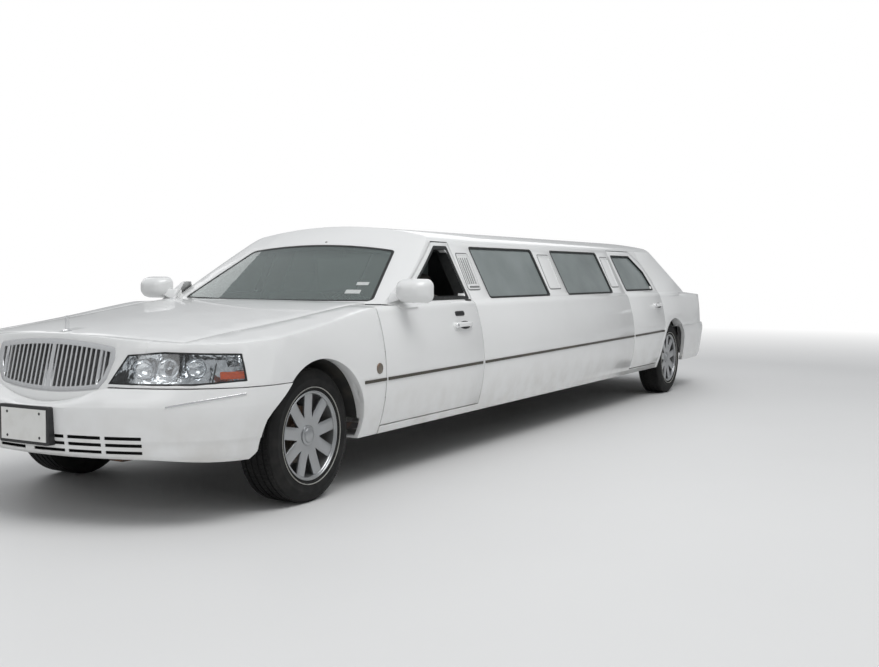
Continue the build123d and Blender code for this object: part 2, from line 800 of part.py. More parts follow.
def hinge_lugs(hinge_x, hinge_z, lug_y, reach):
    """Arms under a panel's edge with eyes for the hinge pins."""
    with BuildPart() as lugs:
        for side in (1, -1):
            with BuildSketch(Plane.XZ.offset(-(side * lug_y + lug_width / 2))):
                with BuildLine():
                    Polyline(
                        (hinge_x, hinge_z + lug_radius),
                        (hinge_x + reach, hinge_z + lug_radius),
                        (hinge_x + reach, hinge_z - lug_radius),
                        (hinge_x, hinge_z - lug_radius),
                        close=True,
                    )
                make_face()
                with Locations((hinge_x, hinge_z)):
                    Circle(lug_radius)
                    Circle(lug_pin_radius + running_clearance, mode=Mode.SUBTRACT)
            extrude(amount=lug_width)
    return lugs.part


# Hood
ornament_x = front_axle_x + 785
ornament_z = 900.0
with BuildPart() as hood:
    add(nose_outer.part)
    add(body_form(front_stations, front_axle_x, fender_wall, 25), mode=Mode.SUBTRACT)
    add(hood_prism(), mode=Mode.INTERSECT)
    add(hinge_lugs(hood_hinge_x, hood_hinge_z, hinge_lug_y, 75))
    # stand-up ornament at the hood's tip
    with BuildSketch(Plane.XY.offset(ornament_z - 14)):
        with Locations((ornament_x, 0)):
            Ellipse(26, 15)
    extrude(amount=22, taper=8)
    with BuildSketch(Plane.XY.offset(ornament_z)):
        with Locations((ornament_x - 4, 0)):
            Rectangle(20, 6)
    extrude(amount=76, taper=1.5)

# Trunk lid
plate_recess_x = rear_axle_x - 1379
rear_plate_z = 806.0
rear_plate_size = (330.0, 168.0)
plate_hole_spacing = 177.8
plate_hole_radius = 3.2
with BuildPart() as trunk_lid:
    add(tail_outer.part)
    add(tail_inner.part, mode=Mode.SUBTRACT)
    add(lid_prism(), mode=Mode.INTERSECT)
    add(hinge_lugs(lid_hinge_x, lid_hinge_z, lid_lug_y, -115))
    # flat recess with two holes for the rear plate
    add(
        box(
            (rear_axle_x - 1600, plate_recess_x),
            (-rear_plate_size[0] / 2, rear_plate_size[0] / 2),
            (rear_plate_z - rear_plate_size[1] / 2, rear_plate_z + rear_plate_size[1] / 2),
        ),
        mode=Mode.SUBTRACT,
    )
    with BuildSketch(Plane.YZ.offset(plate_recess_x + 60)):
        with Locations((0, rear_plate_z + 62)):
            with GridLocations(plate_hole_spacing, 1, 2, 1):
                Circle(plate_hole_radius)
    extrude(amount=-120, mode=Mode.SUBTRACT)

# Front fender, left
front_bumper_top_z = 655.0
nose_seam_y = 560.0
with BuildPart() as fender_left:
    add(nose_outer.part)
    add(nose_inner.part, mode=Mode.SUBTRACT)
    add(box((cabin_front_x, front_axle_x + 1200), (nose_seam_y, 1100), (200, 1200)), mode=Mode.INTERSECT)
    with BuildPart(mode=Mode.PRIVATE) as returns:
        add(arch_flange(front_axle_x, front_arch_radius, front_tub_y[1] + seat_gap, 962, tub_margin + tub_wall))
        add(box((front_axle_x, front_axle_x + 600), (800, 1200), (0, front_bumper_top_z)), mode=Mode.SUBTRACT)
        add(box((front_axle_x - 600, front_axle_x + 600), (800, 1200), (-200, tyre_radius + tub_lift)), mode=Mode.SUBTRACT)
        add(box((cabin_front_x, cabin_front_x + 30), (cowl_half - 50, side_y(950) - 4), (floor_z + floor_thickness, 950)))
        add(nose_outer.part, mode=Mode.INTERSECT)
    add(returns.part)
    add(box((front_axle_x, front_axle_x + 1200), (0, 1100), (0, front_bumper_top_z)), mode=Mode.SUBTRACT)
    add(hood_prism(panel_gap), mode=Mode.SUBTRACT)
    add(lamp_prism(seat_gap), mode=Mode.SUBTRACT)
    add(arch_cylinder(front_axle_x, front_arch_radius, 300, 1100), mode=Mode.SUBTRACT)

# Nose panel between the headlamps, with the grille opening
grille_outline = ((396, 838), (404, 790), (372, 690), (330, 640))
grille_top_z = 868.0
grille_bottom_z = 615.0


def grille_face(inset=0.0):
    """Front-view outline of the grille opening."""
    with BuildSketch(Plane.YZ.offset(front_axle_x + 600)) as face:
        with BuildLine():
            ThreePointArc((grille_outline[0][0], grille_outline[0][1]), (0, grille_top_z), (-grille_outline[0][0], grille_outline[0][1]))
            Polyline(*[(-y, z) for y, z in grille_outline])
            ThreePointArc(
                (-grille_outline[3][0], grille_outline[3][1]), (0, grille_bottom_z), (grille_outline[3][0], grille_outline[3][1])
            )
            Polyline(*reversed(grille_outline))
        make_face()
        fillet(face.vertices(), 22)
        if inset:
            offset(amount=-inset, mode=Mode.REPLACE)
    return face.sketch


def grille_prism(inset=0.0):
    """Grille outline carried along the car."""
    with BuildPart() as prism:
        add(grille_face(inset))
        extrude(amount=700, dir=(1, 0, 0))
    return prism.part


with BuildPart() as nose_panel:
    add(nose_outer.part)
    add(nose_inner.part, mode=Mode.SUBTRACT)
    add(box((front_axle_x + 500, front_axle_x + 1200), (-nose_seam_y, nose_seam_y), (546, 1200)), mode=Mode.INTERSECT)
    add(box((front_axle_x + 500, front_axle_x + 1200), (385, 1100), (0, front_bumper_top_z)), mode=Mode.SUBTRACT)
    add(box((front_axle_x + 500, front_axle_x + 1200), (-1100, -385), (0, front_bumper_top_z)), mode=Mode.SUBTRACT)
    add(hood_prism(panel_gap), mode=Mode.SUBTRACT)
    add(lamp_prism(seat_gap), mode=Mode.SUBTRACT)
    add(mirror(lamp_prism(seat_gap), about=Plane.XZ, mode=Mode.PRIVATE), mode=Mode.SUBTRACT)
    add(grille_prism(), mode=Mode.SUBTRACT)

# Headlamps
with BuildPart() as headlamps:
    add(nose_outer.part)
    add(plan_form(nose_levels, front_axle_x, 1, 70), mode=Mode.SUBTRACT)
    add(lamp_prism(), mode=Mode.INTERSECT)
    add(hood_prism(panel_gap), mode=Mode.SUBTRACT)
    mirror(about=Plane.XZ)

# Tail lamps
with BuildPart() as taillamps:
    add(tail_outer.part)
    add(tail_inner.part, mode=Mode.SUBTRACT)
    add(tail_lamp_prism(), mode=Mode.INTERSECT)
    mirror(about=Plane.XZ)

# Bumpers: thin below, filling the space up to the body's end above
smile_z = 572.0


def bumper(levels, body_levels, axle_x, facing, arch_radius, tub_y, split_z):
    """Bumper cover between the two arches of one end."""
    far_x = axle_x + facing * 2000
    with BuildPart() as cover:
        add(plan_form(levels, axle_x, facing))
        with BuildPart(mode=Mode.PRIVATE) as hollow:
            add(plan_form(levels, axle_x, facing, bumper_wall))
            add(box((axle_x - 2000, axle_x + 2000), (-1200, 1200), (split_z, 1000)), mode=Mode.SUBTRACT)
        add(hollow.part, mode=Mode.SUBTRACT)
        with BuildPart(mode=Mode.PRIVATE) as body_end:
            add(plan_form(body_levels, axle_x, facing, -seat_gap))
            add(box((axle_x + facing * 450, far_x), (-1200, 1200), (split_z - 1, 1000)), mode=Mode.INTERSECT)
        add(body_end.part, mode=Mode.SUBTRACT)
        half = side_y(split_z) - bumper_wall
        add(box((axle_x + facing * 149, axle_x + facing * 451), (-half, half), (split_z - 1, 1000)), mode=Mode.SUBTRACT)
        for side in (1, -1):
            add(arch_cylinder(axle_x, arch_radius, min(side * 500, side * 1200), max(side * 500, side * 1200)), mode=Mode.SUBTRACT)
        tub_radius = arch_radius + tub_margin + tub_wall + seat_gap
        add(arch_cylinder(axle_x, tub_radius, -tub_y[1] - seat_gap, tub_y[1] + seat_gap), mode=Mode.SUBTRACT)
        add(box((axle_x + facing * 200, far_x), (-1200, 1200), (200, 700)), mode=Mode.INTERSECT)
    return cover.part


slot_rows = 3
slot_columns = 6
slot_size = (176.0, 13.0)
slot_pitch = (198.0, 21.0)
slot_z = 300.0
with BuildPart() as front_bumper:
    add(bumper(front_bumper_levels, nose_levels, front_axle_x, 1, front_arch_radius, front_tub_y, 545))
    with BuildSketch(Plane.YZ.offset(front_axle_x + 700)):
        with BuildLine():
            ThreePointArc((-392, 652.5), (0, smile_z), (392, 652.5))
            Line((392, 652.5), (-392, 652.5))
        make_face()
    extrude(amount=500, dir=(1, 0, 0), mode=Mode.SUBTRACT)
    with BuildSketch(Plane.YZ.offset(front_axle_x + 700)):
        with Locations((0, slot_z)):
            with GridLocations(slot_pitch[0], slot_pitch[1], slot_columns, slot_rows):
                Rectangle(*slot_size)
    extrude(amount=500, mode=Mode.SUBTRACT)

with BuildPart() as rear_bumper:
    add(bumper(rear_bumper_levels, tail_levels, rear_axle_x, -1, rear_arch_radius, rear_tub_y, 500))

# Grille: bright surround, waterfall bars and a centre divider
bar_pitch = 31.0
bar_width = 11.0
bar_count = 25
with BuildPart() as grille:
    with BuildPart(mode=Mode.PRIVATE) as grille_body:
        add(nose_outer.part)
        add(plan_form(nose_levels, front_axle_x, 1, 38), mode=Mode.SUBTRACT)
        add(grille_prism(seat_gap), mode=Mode.INTERSECT)
        add(hood_prism(panel_gap), mode=Mode.SUBTRACT)
    with BuildPart(mode=Mode.PRIVATE) as grille_bars:
        with BuildSketch(Plane.YZ.offset(front_axle_x + 600)):
            with GridLocations(bar_pitch, 1, bar_count, 1):
                with Locations((0, grille_top_z / 2 + grille_bottom_z / 2)):
                    Rectangle(bar_width, 400)
            with Locations((0, grille_top_z / 2 + grille_bottom_z / 2)):
                Rectangle(26, 400)
        extrude(amount=700)
    with BuildPart(mode=Mode.PRIVATE) as grille_hole:
        add(grille_prism(26))
    add(grille_body.part)
    add(grille_hole.part - grille_bars.part, mode=Mode.SUBTRACT)

# Plate bracket with a blank plate
plate_z = 470.0
with BuildPart() as plate_bracket:
    with BuildSketch(Plane.YZ.offset(front_axle_x + front_overhang - 4)):
        with Locations((0, plate_z)):
            RectangleRounded(336, 182, 10)
    extrude(amount=-60)
    add(plan_form(front_bumper_levels, front_axle_x, 1, -seat_gap), mode=Mode.SUBTRACT)
with BuildPart() as front_plate:
    with BuildSketch(Plane.YZ.offset(front_axle_x + front_overhang - 4)):
        with Locations((0, plate_z)):
            RectangleRounded(305, 152, 12)
    extrude(amount=4)

# Floor with a centre tunnel
floor_half_width = 838.0
firewall_x = front_axle_x - 625
trunk_floor_z = 500.0
tail_rear_x = rear_axle_x - rear_overhang + 75
tunnel_outline = ((-190, floor_z), (-125, floor_z + 150), (125, floor_z + 150), (190, floor_z))
tunnel_inner = ((-174, floor_z - 1), (-113, floor_z + 136), (113, floor_z + 136), (174, floor_z - 1))
floor_front_x = firewall_x - 20 - seat_gap
riser_x = rear_axle_x + 470


def tunnel(points, x_rear, x_front):
    """Centre tunnel's outline carried along the car."""
    with BuildPart() as run:
        with BuildSketch(Plane.YZ.offset(x_rear)):
            with BuildLine():
                Polyline(*points, close=True)
            make_face()
        extrude(amount=x_front - x_rear)
    return run.part


with BuildPart() as floorpan:
    add(box((riser_x, floor_front_x), (-floor_half_width, floor_half_width), (floor_z, floor_z + floor_thickness)))
    add(tunnel(tunnel_outline, riser_x, floor_front_x))
    # sills inside the rockers
    for side in (1, -1):
        add(
            box(
                (rear_axle_x + rear_arch_radius + 60, floor_front_x),
                (side * (floor_half_width - 60), side * (side_y(sill_z) - door_wall - seat_gap)),
                (sill_z + 4, floor_z),
            )
        )
    # raised floor behind the seats, over the axle and under the trunk
    add(box((riser_x, riser_x + 14), (-600, 600), (floor_z, trunk_floor_z + floor_thickness)))
    add(tunnel(tunnel_inner, riser_x - 1, floor_front_x + 1), mode=Mode.SUBTRACT)
    trunk_floor_range = (trunk_floor_z, trunk_floor_z + floor_thickness)
    add(box((rear_axle_x - 900, riser_x + 1), (-600, 600), trunk_floor_range))
    with BuildPart(mode=Mode.PRIVATE) as trunk_floor:
        add(tail_outer.part)
        add(box((rear_axle_x - 1600, rear_axle_x - 899), (-600, 600), trunk_floor_range), mode=Mode.INTERSECT)
    add(trunk_floor.part)
    with BuildPart(mode=Mode.PRIVATE) as tail_panel:
        add(tail_outer.part)
        add(tail_inner.part, mode=Mode.SUBTRACT)
        add(
            box((rear_axle_x - 1600, rear_axle_x - 900), (-600, 600), (trunk_floor_z, lid_bottom_z - panel_gap)),
            mode=Mode.INTERSECT,
        )
    add(tail_panel.part)

# Ladder frame
rail_half = 45.0
frame_y = 400.0
frame_z = (215.0, 325.0)
kick_z = (430.0, 495.0)
frame_front_x = front_axle_x + 860
frame_rear_x = rear_axle_x - 1290
with BuildPart() as frame:
    for side in (1, -1):
        inner_face = side * (frame_y - rail_half)
        outer_face = side * (frame_y + rail_half)
        add(
            side_prism(
                (
                    (frame_front_x, 300),
                    (frame_front_x, 400),
                    (front_axle_x - 200, 400),
                    (front_axle_x - 480, frame_z[1]),
                    (rear_axle_x + 460, frame_z[1]),
                    (rear_axle_x + 290, kick_z[1]),
                    (frame_rear_x, kick_z[1]),
                    (frame_rear_x, kick_z[0]),
                    (rear_axle_x + 230, kick_z[0]),
                    (rear_axle_x + 430, frame_z[0]),
                    (front_axle_x - 500, frame_z[0]),
                    (front_axle_x + 360, 300),
                ),
                min(inner_face, outer_face),
                max(inner_face, outer_face),
            )
        )
    crossmembers = (
        front_axle_x + 820,
        front_axle_x - 700,
        front_axle_x - 1650,
        front_axle_x - 2500,
        front_axle_x - 3800,
        front_axle_x - 4700,
    )
    for cross_x in crossmembers:
        cross_z = 320 if cross_x > front_axle_x else frame_z[0] + 5
        add(box((cross_x - 40, cross_x + 40), (-frame_y, frame_y), (cross_z, cross_z + 40)))
    for cross_x in (rear_axle_x + 235, frame_rear_x + 40):
        add(box((cross_x - 30, cross_x + 30), (-frame_y, frame_y), (kick_z[0], kick_z[1])))
    # engine mounts
    for side in (1, -1):
        add(box((front_axle_x - 120, front_axle_x - 20), (side * (290 + seat_gap), side * (frame_y - rail_half + 1)), (340, 395)))
    # outriggers to the sills
    for cross_x in (front_axle_x - 1200, front_axle_x - 2600, front_axle_x - 3600, rear_axle_x + 900):
        for side in (1, -1):
            add(box((cross_x - 35, cross_x + 35), (side * (frame_y + rail_half - 1), side * (floor_half_width - 62)), (270, floor_z - seat_gap)))

# Engine block and gearbox as one heavy mass each
with BuildPart() as engine:
    add(box((front_axle_x - 520, front_axle_x + 180), (-290, 290), (330, 850)))
    chamfer(engine.edges().filter_by(Axis.X), 60)
with BuildPart() as driveline:
    with BuildSketch(Plane.YZ.offset(front_axle_x - 520 - seat_gap)):
        with Locations((0, 375)):
            Circle(88)
    with BuildSketch(Plane.YZ.offset(front_axle_x - 1150)):
        with Locations((0, 370)):
            Circle(52)
    loft()
    with BuildSketch(Plane.YZ.offset(front_axle_x - 1150)):
        with Locations((0, 370)):
            Circle(40)
    extrude(amount=-(front_axle_x - 1150 - rear_axle_x - 189 - seat_gap))

# Rear axle: tube, differential, trailing arms and spindles
with BuildPart() as rear_axle:
    with BuildSketch(Plane.XZ.offset(-(rear_track / 2 - 105))):
        with Locations((rear_axle_x, tyre_radius)):
            Circle(42)
    extrude(amount=rear_track - 210)
    with BuildSketch(Plane.XZ.offset(-(rear_track / 2 + 60))):
        with Locations((rear_axle_x, tyre_radius)):
            Circle(spindle_radius)
    extrude(amount=rear_track + 120)
    with Locations((rear_axle_x + 15, 0, tyre_radius + 10)):
        Sphere(125)
    with BuildSketch(Plane.YZ.offset(rear_axle_x + 189)):
        with Locations((0, 370)):
            Circle(60)
    extrude(amount=-120)
    for side in (1, -1):
        add(
            side_prism(
                (
                    (rear_axle_x + 540, 265),
                    (rear_axle_x + 540, 305),
                    (rear_axle_x, 345),
                    (rear_axle_x, 305),
                ),
                min(side * (frame_y + rail_half + seat_gap), side * 485),
                max(side * (frame_y + rail_half + seat_gap), side * 485),
            )
        )
        with BuildSketch(Plane.XY.offset(tyre_radius + 20)):
            with Locations((rear_axle_x - 30, side * 400)):
                Circle(48)
        extrude(amount=kick_z[0] - seat_gap - tyre_radius - 20)

# Front suspension: arms, ball pins, springs, anti-roll bar and rack
lower_ball_z = 215.0
upper_ball_z = 500.0
ball_pin_radius = 9.0
with BuildPart() as front_suspension:
    for side in (1, -1):
        for arm_z, thickness, half_base in ((lower_ball_z - 14, 22, 150), (upper_ball_z + 6, 18, 95)):
            with BuildSketch(Plane.XY.offset(arm_z)):
                with BuildLine():
                    Polyline(
                        (front_axle_x - half_base, side * 446),
                        (front_axle_x - 26, side * (kingpin_y + 12)),
                        (front_axle_x + 26, side * (kingpin_y + 12)),
                        (front_axle_x + half_base, side * 446),
                        close=True,
                    )
                make_face()
            extrude(amount=thickness)
        with BuildSketch(Plane.XY.offset(lower_ball_z + 8)):
            with Locations((front_axle_x, side * kingpin_y)):
                Circle(ball_pin_radius)
        extrude(amount=26)
        with BuildSketch(Plane.XY.offset(upper_ball_z - 20)):
            with Locations((front_axle_x, side * kingpin_y)):
                Circle(ball_pin_radius)
        extrude(amount=26)
        # towers that carry the arms off the frame
        add(box((front_axle_x - 150, front_axle_x + 150), (side * (frame_y + rail_half + seat_gap), side * 470), (195, 300)))
        add(box((front_axle_x - 95, front_axle_x + 95), (side * (frame_y - 20), side * 470), (400 + seat_gap, 560)))
        # spring
        with BuildSketch(Plane.XY.offset(lower_ball_z + 8)):
            with Locations((front_axle_x, side * 540)):
                Circle(52)
        extrude(amount=upper_ball_z - lower_ball_z - 2)
    add(box((front_axle_x - 60, front_axle_x + 60), (-470, 470), (200, 250)))

# Left knuckle with its spindle and caliper
with BuildPart() as knuckle_left:
    add(box((front_axle_x - 22, front_axle_x + 22), (kingpin_y - 20, kingpin_y + 24), (lower_ball_z + 9, upper_ball_z + 5)))
    with BuildSketch(Plane.XZ.offset(-(front_track / 2 + 62))):
        with Locations((front_axle_x, tyre_radius)):
            Circle(spindle_radius)
    extrude(amount=front_track / 2 + 62 - kingpin_y)
    for low_z, high_z in ((lower_ball_z, lower_ball_z + 34.5), (upper_ball_z - 20.5, upper_ball_z + 10)):
        with BuildSketch(Plane.XY.offset(low_z)):
            with Locations((front_axle_x, kingpin_y)):
                Circle(ball_pin_radius + running_clearance)
        extrude(amount=high_z - low_z, mode=Mode.SUBTRACT)

# Wheel: rim with nine flat spokes, hub and brake disc, and its tyre
hub_radius = 62.0
disc_radius = 150.0


def make_rim(axle_x, centre_y):
    """Rim on an axle along Y, outer face towards +Y."""
    with BuildPart() as rim:
        half = rim_width / 2
        with BuildSketch(Plane.XY):
            with BuildLine():
                Polyline(
                    (rim_radius - seat_gap, -half),
                    (rim_radius - seat_gap, half),
                    (rim_radius - 13, half),
                    (rim_radius - 20, half - 22),
                    (rim_radius - 30, half - 60),
                    (rim_radius - 30, -half + 40),
                    (rim_radius - 13, -half),
                    close=True,
                )
            make_face()
        revolve(axis=Axis.Y)
        with BuildSketch(Plane.XY):
            with BuildLine():
                Polyline(
                    (spindle_radius + running_clearance, 20),
                    (hub_radius, 20),
                    (hub_radius, half - 34),
                    (hub_radius - 10, half - 28),
                    (spindle_radius + running_clearance, half - 28),
                    close=True,
                )
            make_face()
        revolve(axis=Axis.Y)
        with BuildSketch(Plane.XZ.offset(-(half - 22))):
            with PolarLocations(0, spoke_count, start_angle=90):
                with BuildLine():
                    Polyline((hub_radius - 14, -24), (rim_radius - 18, -38), (rim_radius - 18, 38), (hub_radius - 14, 24), close=True)
                make_face()
        extrude(amount=24)
        with BuildSketch(Plane.XY):
            with BuildLine():
                Polyline(
                    (spindle_radius + running_clearance, -12),
                    (disc_radius, -12),
                    (disc_radius, 12),
                    (hub_radius, 12),
                    (hub_radius, 21),
                    (spindle_radius + running_clearance, 21),
                    close=True,
                )
            make_face()
        revolve(axis=Axis.Y)
    return Pos(axle_x, centre_y, tyre_radius) * rim.part


def make_tyre(axle_x, centre_y):
    """Tyre on an axle along Y."""
    with BuildPart() as tyre:
        half = tyre_width / 2
        bead = rim_width / 2
        with BuildSketch(Plane.XY):
            with BuildLine():
                Polyline(
                    (rim_radius, -bead),
                    (rim_radius + 26, -bead - 8),
                    (rim_radius + 62, -half),
                    (tyre_radius - 22, -half + 10),
                    (tyre_radius, -half + 32),
                    (tyre_radius, half - 32),
                    (tyre_radius - 22, half - 10),
                    (rim_radius + 62, half),
                    (rim_radius + 26, bead + 8),
                    (rim_radius, bead),
                    close=True,
                )
            make_face()
        revolve(axis=Axis.Y)
    return Pos(axle_x, centre_y, tyre_radius) * tyre.part



# Cowl: top panel, firewall, hinge pillars, door and hood hinge brackets
with BuildPart() as cowl:
    with BuildPart(mode=Mode.PRIVATE) as cowl_top:
        add(body_form(front_stations, front_axle_x))
        add(box((front_axle_x - 950, cabin_front_x), (-cowl_top_half, cowl_top_half), (955, 1100)), mode=Mode.INTERSECT)
        add(hood_prism(panel_gap + 4), mode=Mode.SUBTRACT)
        add(box((front_axle_x - 1200, cabin_front_x + 10), (-1100, 1100), (screen_foot_z, 1300)), mode=Mode.SUBTRACT)
    add(cowl_top.part)
    add(box((firewall_x - 20, firewall_x - 1), (-cowl_half, cowl_half), (floor_z, pillar_low_top_z)))
    add(box((firewall_x - 20, firewall_x - 1), (-cowl_top_half, cowl_top_half), (floor_z, 960)))
    with BuildSketch(Plane.YZ.offset(firewall_x)):
        with BuildLine():
            Polyline(*tunnel_inner, close=True)
        make_face()
    extrude(amount=-40, mode=Mode.SUBTRACT)
    for side in (1, -1):
        add(
            box(
                (hood_hinge_x - 20, hood_hinge_x + 90),
                (side * hinge_lug_y - lug_slot / 2, side * hinge_lug_y + lug_slot / 2),
                (900, 1100),
            ),
            mode=Mode.SUBTRACT,
        )
        with BuildSketch(Plane.XZ.offset(-(side * hinge_lug_y + lug_slot / 2 + 4))):
            with Locations((hood_hinge_x, hood_hinge_z)):
                Circle(lug_pin_radius)
        extrude(amount=lug_slot + 8)
        add(box((front_axle_x - 760, cabin_front_x), (side * (cowl_half - 60), side * cowl_half), (floor_z + floor_thickness, pillar_low_top_z)))
        add(box((front_axle_x - 760, cabin_front_x), (side * (cowl_half - 60), side * cowl_top_half), (floor_z + floor_thickness, 960)))
        for height in hinge_heights:
            with BuildSketch(Plane.XY.offset(height - 10)):
                with Locations((front_door_front_x - hinge_inset, side * (hinge_y + cowl_half) / 2)):
                    Rectangle(2 * hinge_eye_radius - 1, hinge_y - cowl_half)
                with Locations((front_door_front_x - hinge_inset, side * hinge_y)):
                    Circle(hinge_eye_radius)
            extrude(amount=20)
            with BuildSketch(Plane.XY.offset(height - 11)):
                with Locations((front_door_front_x - hinge_inset, side * hinge_y)):
                    Circle(hinge_pin_radius + running_clearance)
            extrude(amount=22, mode=Mode.SUBTRACT)

# Inner structure of the side panel: rear door hinge post and brackets
rear_hinge_x = rear_door_front_x - hinge_inset


def hinge_bracket(post_y, hinge_x, side=1):
    """Arms with eyes that reach from a post to the door pins."""
    with BuildPart() as bracket:
        for height in hinge_heights:
            with BuildSketch(Plane.XY.offset(height - 10)):
                with Locations((hinge_x, side * (hinge_y + post_y) / 2)):
                    Rectangle(2 * hinge_eye_radius - 1, hinge_y - post_y)
                with Locations((hinge_x, side * hinge_y)):
                    Circle(hinge_eye_radius)
            extrude(amount=20)
            with BuildSketch(Plane.XY.offset(height - 11)):
                with Locations((hinge_x, side * hinge_y)):
                    Circle(hinge_pin_radius + running_clearance)
            extrude(amount=22, mode=Mode.SUBTRACT)
    return bracket.part


post_inner_y = 800.0
post_outer_y = 846.0
with BuildPart() as side_body_left:
    add(side_panel_left.part)
    # post behind the rear door's leading edge, carried by the stretch panel
    post_range = (rear_hinge_x - 60, stretch_rear_x + 60)
    add(box(post_range, (post_inner_y, post_outer_y), (floor_z + floor_thickness, pillar_low_top_z)))
    add(box(post_range, (post_inner_y, cowl_top_half), (floor_z + floor_thickness, belt_z - 20)))
    add(box((stretch_rear_x, stretch_rear_x + 60), (post_outer_y - 1, side_y(880) - 22), (floor_z + floor_thickness, 880)))
    add(hinge_bracket(post_outer_y, rear_hinge_x))

# Wheelhouses


def wheelhouse(axle_x, radius, y_inner, y_outer):
    """Half-round tub over a wheel with its inner wall."""
    with BuildPart() as tub:
        with BuildSketch(Plane.XZ.offset(-y_outer)):
            with Locations((axle_x, tyre_radius)):
                Circle(radius + tub_wall)
        extrude(amount=y_outer - y_inner + tub_wall)
        with BuildSketch(Plane.XZ.offset(-y_outer - 1)):
            with Locations((axle_x, tyre_radius)):
                Circle(radius)
        extrude(amount=y_outer - y_inner + 1, mode=Mode.SUBTRACT)
        add(box((axle_x - 700, axle_x + 700), (0, 1200), (-200, tyre_radius + tub_lift)), mode=Mode.SUBTRACT)
    return tub.part


with BuildPart() as front_wheelhouses:
    add(wheelhouse(front_axle_x, front_arch_radius + tub_margin, *front_tub_y))
    add(box((front_axle_x - 210, front_axle_x + 210), (480, 500), (300, 640)), mode=Mode.SUBTRACT)
    mirror(about=Plane.XZ)
with BuildPart() as rear_wheelhouses:
    add(wheelhouse(rear_axle_x, rear_arch_radius + tub_margin, *rear_tub_y))
    mirror(about=Plane.XZ)

# Seats, dashboard, partition
tunnel_cover = ((-191, floor_z), (-126, floor_z + 150 + seat_gap), (126, floor_z + 150 + seat_gap), (191, floor_z))
seat_base_z = floor_z + floor_thickness + seat_gap


def seat(x_front, depth, y_low, y_high, base_height, back_top, lean=0.28, thickness=150):
    """Padded seat with a cushion and a leaning back, facing forward."""
    with BuildPart() as bench:
        with BuildSketch(Plane.XZ.offset(-y_high)):
            with BuildLine():
                back_x = x_front - depth
                Polyline(
                    (x_front, seat_base_z),
                    (x_front, seat_base_z + base_height),
                    (back_x + thickness, seat_base_z + base_height - 35),
                    (back_x + thickness - lean * (back_top - seat_base_z - base_height), back_top),
                    (back_x - lean * (back_top - seat_base_z - base_height) + 20, back_top),
                    (back_x, seat_base_z),
                    close=True,
                )
            make_face()
            fillet(vertices().filter_by_position(Axis.Y, seat_base_z + 50, 3000), 28)
        extrude(amount=y_high - y_low)
    return bench.part


front_seat_x = front_axle_x - 1150
with BuildPart() as front_seats:
    for y_low, y_high in ((200, 740), (-740, -200)):
        add(seat(front_seat_x, 500, y_low, y_high, 190, 1040))
rear_seat_x = rear_axle_x + 1100
with BuildPart() as lounge_seats:
    add(seat(rear_seat_x, 560, -640, 640, 200, 1050))
    add(tunnel(tunnel_cover, riser_x, floor_front_x), mode=Mode.SUBTRACT)
with BuildPart() as side_bench:
    add(box((front_axle_x - 4350, front_axle_x - 2350), (-780, -330), (seat_base_z, seat_base_z + 170)))
    add(box((front_axle_x - 4350, front_axle_x - 2350), (-780, -660), (seat_base_z + 169, 940)))
    fillet(side_bench.edges().filter_by(Axis.X).group_by(Axis.Z)[-1], 30)

partition_x = front_axle_x - 2000
with BuildPart() as partition:
    with BuildSketch(Plane.YZ.offset(partition_x)):
        with BuildLine():
            Polyline(
                (790, seat_base_z), (838, 640), (838, 900), (820, 1000), (630, 1380), (560, 1412),
                (-560, 1412), (-630, 1380), (-820, 1000), (-838, 900), (-838, 640), (-790, seat_base_z), close=True,
            )
        make_face()
    extrude(amount=40)
    with BuildSketch(Plane.YZ.offset(partition_x)):
        with Locations((0, 1160)):
            RectangleRounded(960, 330, 40)
    extrude(amount=40, mode=Mode.SUBTRACT)
    add(tunnel(tunnel_cover, riser_x, floor_front_x), mode=Mode.SUBTRACT)

steering_wheel_tilt = radians(28)
steering_wheel_centre = (firewall_x - 560, 400.0, 900.0)
with BuildPart() as steering_wheel:
    hub_axis = Plane(
        origin=steering_wheel_centre, x_dir=(0, 1, 0), z_dir=(-cos(steering_wheel_tilt), 0, sin(steering_wheel_tilt))
    )
    with BuildSketch(Plane(origin=hub_axis.from_local_coords((188, 0, 0)), x_dir=hub_axis.x_dir, z_dir=hub_axis.y_dir)):
        Circle(14)
    revolve(axis=Axis(hub_axis.origin, hub_axis.z_dir))
    with BuildSketch(hub_axis):
        Circle(62)
        Rectangle(352, 36)
        with Locations((0, -90)):
            Rectangle(36, 172)
    extrude(amount=18, both=True)
    with BuildSketch(hub_axis.offset(-18)):
        Circle(28)
    extrude(amount=-150)

with BuildPart() as dashboard:
    with BuildSketch(Plane.XZ.offset(-760)):
        with BuildLine():
            Polyline(
                (firewall_x - 20.3, 620),
                (firewall_x - 20.3, 925),
                (firewall_x - 120, 925),
                (firewall_x - 350, 940),
                (firewall_x - 430, 880),
                (firewall_x - 400, 700),
                (firewall_x - 250, 620),
                close=True,
            )
        make_face()
        fillet(vertices().filter_by_position(Axis.X, firewall_x - 440, firewall_x - 340), 30)
    extrude(amount=1520)
    with BuildSketch(hub_axis):
        Circle(28 + seat_gap)
    extrude(amount=-168 - seat_gap, mode=Mode.SUBTRACT)

# Fuel tank between the rails behind the axle, and exhausts
with BuildPart() as fuel_tank:
    add(box((rear_axle_x - 1150, rear_axle_x - 380), (-375, 375), (290, kick_z[0] - seat_gap)))
    fillet(fuel_tank.edges().filter_by(Axis.Z), 60)
    fillet(fuel_tank.edges().group_by(Axis.Z)[0], 30)

